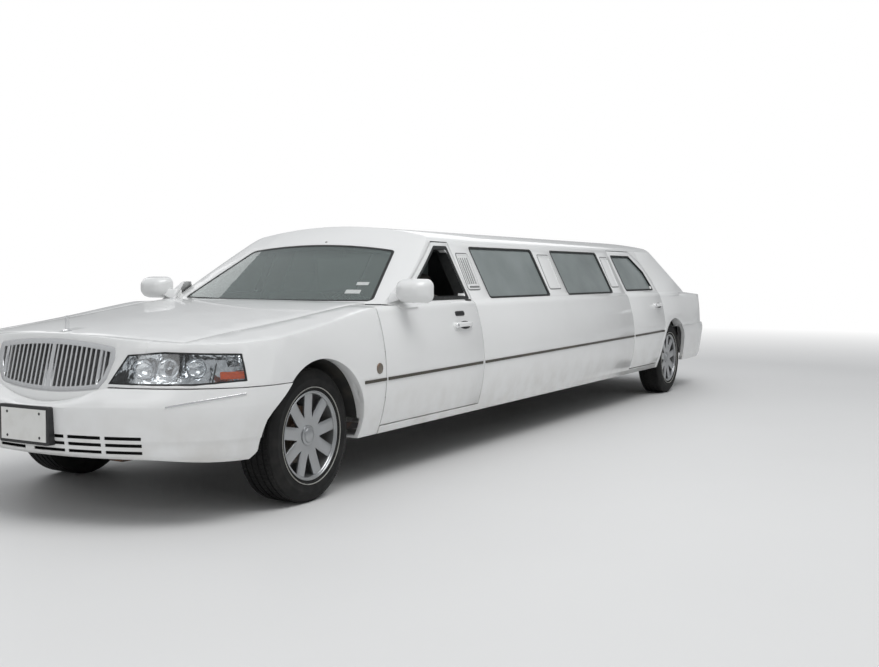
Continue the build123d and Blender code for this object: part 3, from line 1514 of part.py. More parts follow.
pipe_radius = 27.0
exhaust_y = 260.0
pipe_front_z = frame_z[0] + 45 + pipe_radius + seat_gap
tail_pipe_z = 260.0
with BuildPart() as exhaust:
    for side in (1, -1):
        with BuildLine() as run:
            FilletPolyline(
                (front_axle_x - 480, side * exhaust_y, pipe_front_z),
                (rear_axle_x + 700, side * exhaust_y, pipe_front_z),
                (rear_axle_x + 560, side * exhaust_y, tail_pipe_z),
                (rear_axle_x - 1400, side * exhaust_y, tail_pipe_z),
                radius=120,
            )
        with BuildSketch(Plane(origin=run.line @ 0, z_dir=run.line % 0)):
            Circle(pipe_radius)
        sweep(path=run.line)
        for muffler_x in (front_axle_x - 1800, front_axle_x - 4000):
            with BuildSketch(Plane.YZ.offset(muffler_x)):
                with Locations((side * exhaust_y, 276)):
                    Ellipse(88, 58)
            extrude(amount=-520)

# Wipers on the cowl, along the windshield's foot
wiper_spans = ((-640, -70), (-20, 550))
wiper_width = 18.0
wiper_ahead = 42.0


def foot_x(y, ahead):
    """Place ahead of the windshield's foot at a half width."""
    return windshield_base_x + ahead - (windshield_plan_radius - sqrt(windshield_plan_radius**2 - y**2))


with BuildPart() as wipers:
    for y_start, y_end in wiper_spans:
        with BuildSketch(Plane.XY.offset(screen_foot_z + seat_gap)):
            with BuildLine():
                Polyline(
                    (foot_x(y_start, wiper_ahead), y_start),
                    (foot_x(y_start, wiper_ahead + wiper_width), y_start),
                    (foot_x(y_end, wiper_ahead + wiper_width), y_end),
                    (foot_x(y_end, wiper_ahead), y_end),
                    close=True,
                )
            make_face()
        extrude(amount=11)

# Mirrors on the front doors
with BuildPart() as mirror_left:
    with BuildSketch(Plane.YZ.offset(front_axle_x - 905)):
        with Locations((1005, 1090)):
            RectangleRounded(190, 132, 40)
    with BuildSketch(Plane.YZ.offset(front_axle_x - 795)):
        with Locations((1000, 1085)):
            RectangleRounded(140, 92, 36)
    loft()
    with BuildSketch(Plane.XY.offset(belt_z - 8 + seat_gap)):
        with Locations((front_axle_x - 845, 892)):
            Rectangle(70, 44)
    with BuildSketch(Plane.XY.offset(1060)):
        with Locations((front_axle_x - 850, 945)):
            Rectangle(60, 60)
    loft()

# Right-hand pieces mirror the left-hand ones
pieces = {
    "floorpan": floorpan,
    "frame": frame,
    "engine": engine,
    "driveline": driveline,
    "exhaust": exhaust,
    "fuel_tank": fuel_tank,
    "rear_axle": rear_axle,
    "front_suspension": front_suspension,
    "cowl": cowl,
    "front_wheelhouses": front_wheelhouses,
    "rear_wheelhouses": rear_wheelhouses,
    "roof_shell": roof_shell,
    "rear_shelf": rear_shelf,
    "windshield": windshield,
    "rear_window": rear_window,
    "side_windows": side_windows,
    "nose_panel": nose_panel,
    "grille": grille,
    "headlamps": headlamps,
    "taillamps": taillamps,
    "front_bumper": front_bumper,
    "rear_bumper": rear_bumper,
    "plate_bracket": plate_bracket,
    "front_plate": front_plate,
    "dashboard": dashboard,
    "steering_wheel": steering_wheel,
    "front_seats": front_seats,
    "lounge_seats": lounge_seats,
    "side_bench": side_bench,
    "partition": partition,
    "wipers": wipers,
    "hood": hood,
    "trunk_lid": trunk_lid,
}
for name, piece in pieces.items():
    piece.part.label = name
    export_step(piece.part, f"parts/{name}.step")

for name, piece in (
    ("fender", fender_left),
    ("side_panel", side_body_left),
    ("quarter", quarter_left),
    ("door_front", door_front_left),
    ("door_rear", door_rear_left),
    ("mirror", mirror_left),
    ("glass_rear", glass_rear_left),
    ("knuckle", knuckle_left),
):
    piece.part.label = f"{name}_left"
    export_step(piece.part, f"parts/{name}_left.step")
    with BuildPart() as opposite:
        add(piece.part)
        mirror(about=Plane.XZ, mode=Mode.REPLACE)
    opposite.part.label = f"{name}_right"
    export_step(opposite.part, f"parts/{name}_right.step")

with BuildPart() as glass_front_right:
    add(glass_front_left.part)
    mirror(about=Plane.XZ, mode=Mode.REPLACE)
glass_front_right.part.label = "glass_front_right"
export_step(glass_front_right.part, "parts/glass_front_right.step")

for axle_name, axle_x, track in (("front", front_axle_x, front_track), ("rear", rear_axle_x, rear_track)):
    for side_name, side in (("left", 1), ("right", -1)):
        for part_name, maker in (("rim", make_rim), ("tyre", make_tyre)):
            with BuildPart() as wheel_piece:
                add(maker(axle_x, track / 2))
                if side < 0:
                    mirror(about=Plane.XZ, mode=Mode.REPLACE)
            wheel_piece.part.label = f"{part_name}_{axle_name}_{side_name}"
            export_step(wheel_piece.part, f"parts/{part_name}_{axle_name}_{side_name}.step")
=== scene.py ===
import math

import bmesh
import bpy
from mathutils import Matrix, Vector
from mathutils.bvhtree import BVHTree


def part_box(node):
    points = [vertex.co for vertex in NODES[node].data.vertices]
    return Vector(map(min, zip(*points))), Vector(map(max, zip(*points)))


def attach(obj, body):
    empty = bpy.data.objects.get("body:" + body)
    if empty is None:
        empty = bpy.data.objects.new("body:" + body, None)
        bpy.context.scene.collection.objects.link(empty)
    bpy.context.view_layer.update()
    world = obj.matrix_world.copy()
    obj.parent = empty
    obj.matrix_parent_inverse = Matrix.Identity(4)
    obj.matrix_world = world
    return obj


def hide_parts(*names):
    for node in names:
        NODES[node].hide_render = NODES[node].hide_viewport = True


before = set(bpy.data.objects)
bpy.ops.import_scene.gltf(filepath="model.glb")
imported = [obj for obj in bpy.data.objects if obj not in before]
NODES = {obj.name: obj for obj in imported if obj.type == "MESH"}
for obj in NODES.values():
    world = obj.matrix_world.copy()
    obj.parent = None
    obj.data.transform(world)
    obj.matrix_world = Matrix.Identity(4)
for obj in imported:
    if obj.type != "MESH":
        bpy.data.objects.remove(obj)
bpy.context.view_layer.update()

bl_info = {
    "name": "Stretch limousine dressing",
    "version": (1, 0, 0),
    "blender": (4, 5, 0),
    "location": "View3D > Sidebar > Limousine",
    "description": "Finishes, trim, wheels, lamps and seats for a stretch limousine",
    "category": "Object",
}

SIDES = (("left", 1), ("right", -1))
# Places of the body in metres, as in the CAD: axles along X, wheel centres, widest line, belt line and
# top of the side glass
FRONT_AXLE, REAR_AXLE = 3.213, -2.825
WHEEL_HEIGHT = 0.350
WIDEST_Y, WIDEST_Z = 0.997, 0.612
LOWER_RADIUS, UPPER_RADIUS = 0.856, 1.060
BELT_Y, BELT_Z = 0.905, 1.010
WINDOW_TOP_Y, WINDOW_TOP_Z = 0.715, 1.385
ALONG, ACROSS, UP = (1, 0, 0), (0, 1, 0), (0, 0, 1)


def side_y(z):
    """Half width of the lower body at a height."""
    radius = LOWER_RADIUS if z < WIDEST_Z else UPPER_RADIUS
    return WIDEST_Y - radius + math.sqrt(radius**2 - (z - WIDEST_Z) ** 2)


def glass_y(z):
    """Half width of the side glass plane at a height."""
    return BELT_Y + (WINDOW_TOP_Y - BELT_Y) * (z - BELT_Z) / (WINDOW_TOP_Z - BELT_Z)


def spread(low, high, count):
    """Even values from low to high."""
    return [low + (high - low) * step / (count - 1) for step in range(count)]


def smooth_share(value, low, high):
    """Share from 0 to 1 that eases in and out between two values."""
    share = min(max((value - low) / (high - low), 0), 1)
    return share * share * (3 - 2 * share)


# ---------------------------------------------------------------- materials

FINISHES = {}


def set_inputs(node, **inputs):
    """Sets inputs of a shader node by name, with _ for a space."""
    for key, value in inputs.items():
        node.inputs[key.replace("_", " ")].default_value = value
    return node


class Finish:
    """A node material built up step by step on one principled shader, and kept under its key."""

    def __init__(self, key, name, color, roughness, **sockets):
        self.material = bpy.data.materials.new(name)
        self.material.use_nodes = True
        self.nodes = self.material.node_tree.nodes
        self.links = self.material.node_tree.links
        self.shader = self.nodes["Principled BSDF"]
        self.color = tuple(color) + (1.0,)
        set_inputs(self.shader, Base_Color=self.color, Roughness=roughness, **sockets)
        self.material.diffuse_color = self.color
        self.coordinates = self.nodes.new("ShaderNodeTexCoord").outputs["Object"]
        self.tint = None
        self.height = None
        FINISHES[key] = self.material

    def textured(self, kind, scale, stretch=(1, 1, 1), **inputs):
        texture = set_inputs(self.nodes.new(kind), Scale=scale, **inputs)
        mapping = set_inputs(self.nodes.new("ShaderNodeMapping"), Scale=stretch)
        self.links.new(self.coordinates, mapping.inputs["Vector"])
        self.links.new(mapping.outputs["Vector"], texture.inputs["Vector"])
        return texture

    def noise(self, scale, detail=3.0, stretch=(1, 1, 1)):
        return self.textured("ShaderNodeTexNoise", scale, stretch, Detail=detail).outputs["Fac"]

    def ranged(self, value, low, high, to_low=0.0, to_high=1.0):
        ramp = self.nodes.new("ShaderNodeMapRange")
        set_inputs(ramp, From_Min=low, From_Max=high, To_Min=to_low, To_Max=to_high)
        self.links.new(value, ramp.inputs["Value"])
        return ramp.outputs["Result"]

    def times(self, first, second):
        maths = self.nodes.new("ShaderNodeMath")
        maths.operation = "MULTIPLY"
        self.links.new(first, maths.inputs[0])
        if isinstance(second, float):
            maths.inputs[1].default_value = second
        else:
            self.links.new(second, maths.inputs[1])
        return maths.outputs[0]

    def blend(self, amount, color):
        mix = self.nodes.new("ShaderNodeMix")
        mix.data_type = "RGBA"
        self.links.new(amount, mix.inputs["Factor"])
        if self.tint:
            self.links.new(self.tint, mix.inputs["A"])
        else:
            mix.inputs["A"].default_value = self.color
        mix.inputs["B"].default_value = tuple(color) + (1.0,)
        self.tint = mix.outputs["Result"]
        self.links.new(self.tint, self.shader.inputs["Base Color"])
        return self

    def mottle(self, scale, color, low, high, most):
        return self.blend(self.ranged(self.noise(scale), low, high, 0.0, most), color)

    def uneven_gloss(self, scale, low, high):
        value = self.ranged(self.noise(scale), 0.35, 0.65, low, high)
        self.links.new(value, self.shader.inputs["Roughness"])
        return self

    def relief(self, value, distance, strength=1.0):
        bump = set_inputs(self.nodes.new("ShaderNodeBump"), Distance=distance, Strength=strength)
        self.links.new(value, bump.inputs["Height"])
        if self.height:
            self.links.new(self.height, bump.inputs["Normal"])
        self.height = bump.outputs["Normal"]
        self.links.new(self.height, self.shader.inputs["Normal"])
        return self

    def height_fade(self, low, high, to_low=1.0, to_high=0.0):
        separate = self.nodes.new("ShaderNodeSeparateXYZ")
        self.links.new(self.coordinates, separate.inputs[0])
        return self.ranged(separate.outputs["Z"], low, high, to_low, to_high)


# Finishes that are made alike: key, material name, colour, roughness, sockets, mottle (scale, colour,
# noise from and to, most), grain (scale, detail, depth)
PLAIN_FINISHES = (
    ("lens", "lamp_lens", (0.93, 0.95, 0.96), 0.02, {"Transmission_Weight": 1.0, "IOR": 1.4, "Coat_Weight": 0.5},
     (60.0, (0.82, 0.84, 0.84), 0.5, 0.8, 0.3), None),
    ("amber", "amber_reflector", (0.88, 0.11, 0.004), 0.12, {"Coat_Weight": 0.7},
     (90.0, (0.7, 0.08, 0.01), 0.4, 0.6, 0.6), (420.0, 0.0, 0.0005)),
    ("bowl", "reflector_bowl", (0.86, 0.87, 0.88), 0.10, {"Metallic": 0.95},
     (35.0, (0.5, 0.52, 0.54), 0.45, 0.65, 0.7), (70.0, 0.0, 0.0012)),
    ("alloy", "wheel_alloy", (0.37, 0.38, 0.39), 0.30, {"Metallic": 0.75, "Coat_Weight": 0.4, "Coat_Roughness": 0.12},
     (12.0, (0.30, 0.30, 0.29), 0.4, 0.75, 0.35), (1200.0, 1.0, 0.00003)),
    ("rubber", "tyre_rubber", (0.007, 0.007, 0.007), 0.78, {"Specular_IOR_Level": 0.35},
     (14.0, (0.030, 0.029, 0.027), 0.42, 0.75, 0.5), (500.0, 2.0, 0.00015)),
    ("white_line", "tyre_white_line", (0.36, 0.36, 0.335), 0.6, {}, (45.0, (0.20, 0.19, 0.17), 0.45, 0.7, 0.6), None),
    ("black", "black_trim", (0.018, 0.018, 0.019), 0.42, {},
     (30.0, (0.04, 0.04, 0.04), 0.4, 0.7, 0.4), (1500.0, 1.0, 0.00005)),
    ("gasket", "rubber_gasket", (0.012, 0.013, 0.013), 0.62, {}, (25.0, (0.03, 0.03, 0.03), 0.4, 0.7, 0.5), None),
    # Grey of the gaps round the pillar panels, between the louvres and in the bar below them: painted shade, with a
    # darker mottle
    ("shadow_gap", "grey_sealer", (0.21, 0.215, 0.215), 0.6, {}, (30.0, (0.13, 0.13, 0.13), 0.4, 0.7, 0.5), None),
    ("bronze", "bronze_moulding", (0.075, 0.068, 0.054), 0.34, {"Metallic": 0.6},
     (2.5, (0.24, 0.19, 0.11), 0.55, 0.75, 0.5), None),
    ("under", "underbody_coating", (0.030, 0.030, 0.029), 0.85, {},
     (9.0, (0.10, 0.085, 0.065), 0.45, 0.75, 0.6), (220.0, 3.0, 0.0008)),
    ("steel", "chassis_steel", (0.055, 0.052, 0.05), 0.62, {"Metallic": 0.4},
     (11.0, (0.17, 0.075, 0.035), 0.52, 0.72, 0.75), (300.0, 3.0, 0.0004)),
    ("pipe", "exhaust_steel", (0.24, 0.22, 0.19), 0.5, {"Metallic": 0.7},
     (8.0, (0.20, 0.10, 0.05), 0.45, 0.7, 0.7), (260.0, 3.0, 0.0003)),
    ("casting", "cast_metal", (0.16, 0.16, 0.165), 0.6, {"Metallic": 0.5},
     (20.0, (0.06, 0.055, 0.05), 0.45, 0.7, 0.6), (180.0, 4.0, 0.0009)),
    ("plate", "plate_enamel", (0.74, 0.74, 0.72), 0.35, {"Coat_Weight": 0.3},
     (18.0, (0.6, 0.59, 0.55), 0.45, 0.8, 0.4), None),
    ("sticker", "pale_sticker", (0.55, 0.57, 0.56), 0.5, {}, (60.0, (0.42, 0.44, 0.43), 0.4, 0.7, 0.6), None),
    ("cabin", "cabin_plastic", (0.035, 0.036, 0.037), 0.6, {},
     (15.0, (0.06, 0.06, 0.06), 0.4, 0.7, 0.4), (700.0, 2.0, 0.0002)),
    ("mirror", "mirror_glass", (0.86, 0.88, 0.89), 0.02, {"Metallic": 1.0},
     (25.0, (0.8, 0.82, 0.82), 0.5, 0.8, 0.4), None),
)
# Height over which the darker, browner patches low on the paint fade out, and that of the dark band along the
# windshield's top
DARKEN_LOW, DARKEN_HIGH = 0.26, 0.62
SHADE_LOW, SHADE_HIGH = 1.28, 1.38


def make_paint(settings):
    """White paint with a clear coat, faint clouds and darker, browner patches towards the bottom."""
    work = Finish("paint", "white_paint", settings.paint_color, 0.34, Coat_Weight=0.75, Coat_Roughness=0.04)
    work.mottle(1.6, (0.66, 0.665, 0.66), 0.35, 0.75, 0.18)
    # Patches blended towards a dull brown, strongest at the foot of the body and gone by the widest line
    low_patches = work.times(work.ranged(work.noise(7.0, 6.0), 0.38, 0.72), work.height_fade(DARKEN_LOW, DARKEN_HIGH))
    work.blend(work.times(low_patches, settings.low_darkening), (0.42, 0.385, 0.33))
    work.uneven_gloss(9.0, 0.30, 0.42)
    work.relief(work.noise(900.0, 1.0), 0.00004)


def make_glass(settings):
    """Dark side glass, and the clearer windshield with its shaded top."""
    side = Finish(
        "privacy", "privacy_glass", settings.glass_tint, 0.02, Transmission_Weight=0.40, IOR=1.5, Specular_IOR_Level=0.7
    )
    side.mottle(2.2, (0.20, 0.24, 0.235), 0.35, 0.7, 0.7)
    screen = Finish("screen", "windshield_glass", settings.screen_tint, 0.02, Transmission_Weight=0.82, IOR=1.45)
    screen.blend(screen.height_fade(SHADE_LOW, SHADE_HIGH, 0.0, 0.55), (0.06, 0.10, 0.10))


def make_leather(color):
    """Leather with a fine grain of cells."""
    leather = Finish("leather", "seat_leather", color, 0.48, Specular_IOR_Level=0.4)
    leather.mottle(8.0, (0.055, 0.05, 0.046), 0.35, 0.75, 0.5)
    leather.relief(leather.textured("ShaderNodeTexVoronoi", 420.0).outputs["Distance"], 0.0005, 0.7)


def make_finishes(scene):
    """Fills the table of finishes."""
    make_paint(scene.limousine_body)
    make_glass(scene.limousine_glass)
    make_leather(scene.limousine_cabin.leather_color)
    red = Finish("red", "red_lens", (0.42, 0.012, 0.014), 0.06, Transmission_Weight=0.35, IOR=1.45, Coat_Weight=0.6)
    red.relief(red.noise(260.0, 0.0, (1, 1, 0.15)), 0.0006)
    red.mottle(30.0, (0.25, 0.005, 0.008), 0.4, 0.7, 0.5)
    chrome = Finish("chrome", "bright_chrome", (0.93, 0.935, 0.94), 0.06, Metallic=0.9)
    chrome.mottle(40.0, (0.78, 0.79, 0.80), 0.45, 0.8, 0.3).uneven_gloss(30.0, 0.05, 0.12)
    wood = Finish("wood", "dash_wood", (0.10, 0.035, 0.014), 0.22, Coat_Weight=0.8)
    wood.blend(wood.ranged(wood.noise(9.0, 8.0, (0.4, 0.6, 14.0)), 0.42, 0.62), (0.035, 0.012, 0.006))
    for key, name, color, roughness, sockets, mottle, grain in PLAIN_FINISHES:
        work = Finish(key, name, color, roughness, **sockets).mottle(*mottle)
        if grain:
            scale, detail, depth = grain
            work.relief(work.noise(scale, detail), depth)


# ------------------------------------------------------------ mesh helpers

WELD = 0.00001
DOUBLED = 0.00005
# Radius at which a turned profile meets its axis
HUB = 0.0001
# Angles in degrees past which an edge is shaded sharp and bevelled
SHARP_ANGLE, BEVEL_ANGLE = 34.0, 32.0
# Depth of a strip's foot under the surface that it lies on
STRIP_ROOT = 0.001


def soften(thing, width, angle):
    """Bevel modifier for the edges that turn by more than an angle in degrees."""
    edge = thing.modifiers.new("Soft edges", "BEVEL")
    edge.width = width
    edge.segments = 2
    edge.limit_method = "ANGLE"
    edge.angle_limit = math.radians(angle)


def piece(name, bm, finish, body, slot, replaces=(), angle=SHARP_ANGLE, bevel=0.0, subdivide=0):
    """Turns a finished bmesh into a named piece that rides on a body."""
    mesh = bpy.data.meshes.new(name)
    bm.to_mesh(mesh)
    bm.free()
    mesh.shade_smooth()
    mesh.set_sharp_from_angle(angle=math.radians(angle))
    mesh.materials.append(FINISHES[finish])
    made = bpy.data.objects.new(name, mesh)
    bpy.context.scene.collection.objects.link(made)
    if bevel:
        soften(made, bevel, BEVEL_ANGLE)
    if subdivide:
        smooth = made.modifiers.new("Smooth form", "SUBSURF")
        smooth.levels = subdivide
        smooth.render_levels = subdivide
    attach(made, body)
    if replaces:
        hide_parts(*replaces)
    return made


def add_block(bm, low, high):
    """Box between two corners."""
    made = bmesh.ops.create_cube(bm, size=1.0)["verts"]
    low, high = Vector(low), Vector(high)
    bmesh.ops.scale(bm, verts=made, vec=high - low)
    bmesh.ops.translate(bm, verts=made, vec=(low + high) / 2)


def add_lathe(bm, profile, centre, side=1, steps=72, axis=ACROSS):
    """Turns a profile of (radius, distance along the axis) into a closed or open round form."""
    axis = Vector(axis).normalized()
    across = axis.orthogonal().normalized()
    points = [Vector(centre) + across * radius + axis * along * side for radius, along in profile]
    verts = [bm.verts.new(point) for point in points]
    edges = [bm.edges.new(pair) for pair in zip(verts, verts[1:])]
    bmesh.ops.spin(
        bm, geom=verts + edges, cent=centre, axis=axis, angle=math.tau, steps=steps, use_merge=True, use_duplicate=False
    )


def add_mesh(bm, other):
    """Moves one bmesh into another."""
    mesh = bpy.data.meshes.new("part")
    other.to_mesh(mesh)
    other.free()
    bm.from_mesh(mesh)
    bpy.data.meshes.remove(mesh)


def tidy(bm, distance=DOUBLED):
    """Merges doubled points and turns every face outwards."""
    bmesh.ops.remove_doubles(bm, verts=bm.verts, dist=distance)
    bmesh.ops.recalc_face_normals(bm, faces=bm.faces)


def thicken(bm, thickness):
    """Gives a sheet its wall."""
    bmesh.ops.solidify(bm, geom=list(bm.faces), thickness=thickness)


def extrude_all(bm):
    """Extrudes every face, and gives the new points."""
    made = bmesh.ops.extrude_face_region(bm, geom=list(bm.faces))["geom"]
    return [item for item in made if isinstance(item, bmesh.types.BMVert)]


def keep_faces(bm, wanted):
    """Deletes the faces that a test turns down."""
    bmesh.ops.delete(bm, geom=[face for face in bm.faces if not wanted(face)], context="FACES")


def keep_band(bm, width):
    """Leaves only the band along the open edges of a sheet."""
    made = bmesh.ops.inset_region(bm, faces=list(bm.faces), thickness=width, use_boundary=True, use_even_offset=True)
    band = set(made["faces"])
    keep_faces(bm, lambda face: face in band)


def merged_copy(node):
    """A welded bmesh of a CAD node."""
    bm = bmesh.new()
    bm.from_mesh(NODES[node].data)
    bmesh.ops.remove_doubles(bm, verts=bm.verts, dist=WELD)
    return bm


def merged_half(node, side):
    """A welded bmesh of a CAD node's part on one side."""
    bm = merged_copy(node)
    bmesh.ops.delete(bm, geom=[vert for vert in bm.verts if vert.co.y * side < 0], context="VERTS")
    return bm


SKINS = {}


def skin(node):
    """Search tree over the surface of a CAD node, or of the cover that took its place."""
    if node not in SKINS:
        bm = merged_copy(node)
        SKINS[node] = BVHTree.FromBMesh(bm)
        bm.free()
    return SKINS[node]


def on_skin(node, origin, direction):
    """Point and normal met on a node from a place along a direction."""
    hit, normal, _, _ = skin(node).ray_cast(Vector(origin), Vector(direction))
    if hit is None:
        raise RuntimeError(f"no surface of {node} found from {origin}")
    return hit, normal


def nose_path(node, places):
    """Points and normals on the nose, met from ahead at (Y, Z) places."""
    return [on_skin(node, (FRONT_AXLE + 2, y, z), (-1, 0, 0)) for y, z in places]


def tail_path(node, places):
    """Points and normals on the tail, met from behind at (Y, Z) places."""
    return [on_skin(node, (REAR_AXLE - 3, y, z), ALONG) for y, z in places]


def add_ribbon(bm, path, width_axis, width, thickness, rise=0.0):
    """Thin strip along (point, normal) pairs; its faces stand off the surface by the thickness."""
    rows = []
    width_axis = Vector(width_axis).normalized()
    for point, normal in path:
        normal = Vector(normal).normalized()
        across = (width_axis - normal * width_axis.dot(normal)).normalized() * width / 2
        base = point + normal * (rise - STRIP_ROOT)
        top = point + normal * (rise + thickness)
        rows.append([bm.verts.new(place) for place in (base - across, top - across, top + across, base + across)])
    bridge_rows(bm, rows)


def bridge_rows(bm, rows):
    """Joins rows of four points into a closed bar."""
    for first, second in zip(rows, rows[1:]):
        for index in range(4):
            following = (index + 1) % 4
            bm.faces.new((first[index], first[following], second[following], second[index]))
    bm.faces.new(rows[0][::-1])
    bm.faces.new(rows[-1])


def ribbon_piece(name, ribbons, width_axis, finish, body, slot, rise=0.0, bevel=0.0):
    """Piece of strips, each given as a path, a width and a thickness."""
    bm = bmesh.new()
    for path, width, thickness in ribbons:
        add_ribbon(bm, path, width_axis, width, thickness, rise)
    tidy(bm)
    return piece(name, bm, finish, body, slot, bevel=bevel)


def turned_piece(name, profile, centre, side, steps, finish, body, slot, axis=ACROSS, bevel=0.0):
    """Piece turned from one profile."""
    bm = bmesh.new()
    add_lathe(bm, profile, centre, side, steps, axis)
    tidy(bm)
    return piece(name, bm, finish, body, slot, bevel=bevel)


def upright(x_front, x_rear, z_low, z_high):
    """Outline of an upright rectangle."""
    return ((x_front, z_low), (x_front, z_high), (x_rear, z_high), (x_rear, z_low))


def rounded_outline(bm, points, radii):
    """Flat face in the XZ plane with rounded corners, of one radius or one for each corner."""
    count = len(points)
    if not isinstance(radii, (list, tuple)):
        radii = [radii] * count
    verts = [bm.verts.new((x, 0, z)) for x, z in points]
    bm.faces.new(verts)
    reaches = []
    for index, radius in enumerate(radii):
        before, here, after = (Vector(points[(index + step) % count]) for step in (-1, 0, 1))
        turn = (here - before).angle(after - here)
        reaches.append(radius * math.tan(turn / 2))
    for vert, reach in zip(verts, reaches):
        bmesh.ops.bevel(
            bm, geom=[vert], offset=reach, offset_type="OFFSET", affect="VERTICES", segments=5, profile=0.5, material=-1
        )


# Distances from an opening at which its edge is looked for, the number of directions, and the start of a ray
EDGE_REACHES, EDGE_DIRECTIONS = (0.004, 0.009, 0.015, 0.024, 0.036), 8
OUTSIDE_Y = 1.4
# Edges of a plate's outline longer than this are cut up, so that they follow the body
LONG_EDGE, LONG_EDGE_CUTS = 0.12, 5


def body_y(nodes, x, z, side):
    """Half width of the body side at a place; over an opening, that of its nearest edge."""
    turns = [step * math.tau / EDGE_DIRECTIONS for step in range(EDGE_DIRECTIONS)]
    around = [(reach * math.cos(turn), reach * math.sin(turn)) for reach in EDGE_REACHES for turn in turns]
    for offset_x, offset_z in [(0.0, 0.0), *around]:
        start = Vector((x + offset_x, side * OUTSIDE_Y, z + offset_z))
        for node in nodes:
            hit, normal, _, _ = skin(node).ray_cast(start, Vector((0, -side, 0)))
            if hit and normal.y * side > 0.3:
                return abs(hit.y)
    return glass_y(z)


def side_form(points, radius, width, lift, depth, side, nodes, hole=None):
    """Rounded plate laid on the body side; with a width only the band along its outline, with a hole a ring."""
    bm = bmesh.new()
    rounded_outline(bm, points, radius)
    if hole:
        rounded_outline(bm, *hole)
        bmesh.ops.delete(bm, geom=list(bm.faces), context="FACES_ONLY")
        bmesh.ops.bridge_loops(bm, edges=list(bm.edges))
    elif width:
        bmesh.ops.inset_region(bm, faces=list(bm.faces), thickness=width, use_boundary=True, use_even_offset=True)
        inner = max(bm.faces, key=lambda face: len(face.verts))
        bmesh.ops.delete(bm, geom=[inner], context="FACES")
    if hole or width:
        long_edges = [edge for edge in bm.edges if edge.calc_length() > LONG_EDGE]
        bmesh.ops.subdivide_edges(bm, edges=long_edges, cuts=LONG_EDGE_CUTS)
    heights = {
        (round(vert.co.x, 6), round(vert.co.z, 6)): body_y(nodes, vert.co.x, vert.co.z, side) for vert in bm.verts
    }
    top = extrude_all(bm)
    for vert in bm.verts:
        vert.co.y = heights[(round(vert.co.x, 6), round(vert.co.z, 6))] - depth
    for vert in top:
        vert.co.y += depth + lift
    for vert in bm.verts:
        vert.co.y *= side
    tidy(bm)
    return bm


# ------------------------------------------------------------- properties


class LimousineBodySettings(bpy.types.PropertyGroup):
    """Paint and trim of the body."""

    paint_color: bpy.props.FloatVectorProperty(
        name="Paint colour", description="Colour of the painted panels", subtype="COLOR",
        default=(0.80, 0.805, 0.80), min=0, max=1,
    )
    # How far the paint darkens in browner patches towards the bottom
    low_darkening: bpy.props.FloatProperty(
        name="Low darkening", description="How much the paint darkens in patches towards the bottom", default=0.35, min=0, max=1,
        subtype="FACTOR",
    )
    moulding_height: bpy.props.FloatProperty(
        name="Moulding height", description="Height of the strip along the side", default=0.017, min=0.004,
        unit="LENGTH",
    )
    gasket_width: bpy.props.FloatProperty(
        name="Gasket width", description="Width of the black edge round each side window", default=0.018,
        min=0.004, unit="LENGTH",
    )


class LimousineGlassSettings(bpy.types.PropertyGroup):
    """Tints of the glass."""

    glass_tint: bpy.props.FloatVectorProperty(
        name="Side glass tint", description="Colour of the privacy glass", subtype="COLOR",
        default=(0.36, 0.41, 0.405), min=0, max=1,
    )
    screen_tint: bpy.props.FloatVectorProperty(
        name="Windshield tint", description="Colour of the windshield", subtype="COLOR",
        default=(0.42, 0.50, 0.48), min=0, max=1,
    )


class LimousineWheelSettings(bpy.types.PropertyGroup):
    """Wheels and tyres."""

    spoke_count: bpy.props.IntProperty(name="Spokes", description="Spokes of each wheel", default=9, min=3)
    tread_blocks: bpy.props.IntProperty(
        name="Tread blocks", description="Blocks round each tread rib", default=80, min=24
    )
    white_line_radius: bpy.props.FloatProperty(
        name="White line radius", description="Radius of the thin pale line on the tyre", default=0.252, min=0.22,
        unit="LENGTH",
    )
    white_line_width: bpy.props.FloatProperty(
        name="White line width", description="Width of the thin pale line", default=0.004, min=0.001, unit="LENGTH"
    )


class LimousineCabinSettings(bpy.types.PropertyGroup):
    """Seats and dashboard."""

    leather_color: bpy.props.FloatVectorProperty(
        name="Leather colour", description="Colour of the seats", subtype="COLOR",
        default=(0.095, 0.088, 0.08), min=0, max=1,
    )
    cushion_crown: bpy.props.FloatProperty(
        name="Cushion crown", description="How far the padding swells", default=0.022, min=0, unit="LENGTH"
    )


class LimousineStageSettings(bpy.types.PropertyGroup):
    """Floor, lamps and camera."""

    floor_color: bpy.props.FloatVectorProperty(
        name="Floor colour", description="Colour of the studio floor", subtype="COLOR",
        default=(0.72, 0.72, 0.715), min=0, max=1,
    )
    key_power: bpy.props.FloatProperty(
        name="Key lamp", description="Power of the large lamp", default=760.0, min=0, unit="POWER"
    )
    fill_power: bpy.props.FloatProperty(
        name="Fill lamp", description="Power of the fill lamp", default=105.0, min=0, unit="POWER"
    )
    focal_length: bpy.props.FloatProperty(
        name="Focal length", description="Camera lens in millimetres", default=44.33, min=10
    )


# ------------------------------------------------------------- body pieces

PAIRED_PAINT_NODES = ("fender", "side_panel", "quarter", "door_front", "door_rear", "mirror")
NODE_FINISHES = {
    "paint": (
        "hood", "trunk_lid", "roof_shell", "rear_shelf", "nose_panel", "front_bumper", "rear_bumper", "cowl",
        *[f"{name}_{side_name}" for name in PAIRED_PAINT_NODES for side_name, _ in SIDES],
    ),
    "privacy": ("side_windows", "glass_rear_left", "glass_rear_right", "glass_front_right", "rear_window"),
    "screen": ("windshield",),
    "chrome": ("grille",),
    "black": ("plate_bracket",),
    "under": ("floorpan", "front_wheelhouses", "rear_wheelhouses", "fuel_tank"),
    "steel": ("frame", "front_suspension", "rear_axle", "knuckle_left", "knuckle_right", "driveline"),
    "casting": ("engine",),
    "pipe": ("exhaust",),
    "cabin": ("partition", "dashboard"),
}
SOFT_EDGED = {"paint": 0.0022, "chrome": 0.0012, "steel": 0.003, "under": 0.004, "casting": 0.006}
NODE_WELD = 0.00002
NODE_BEVEL_ANGLE, NODE_SHARP_ANGLE = 28, 30


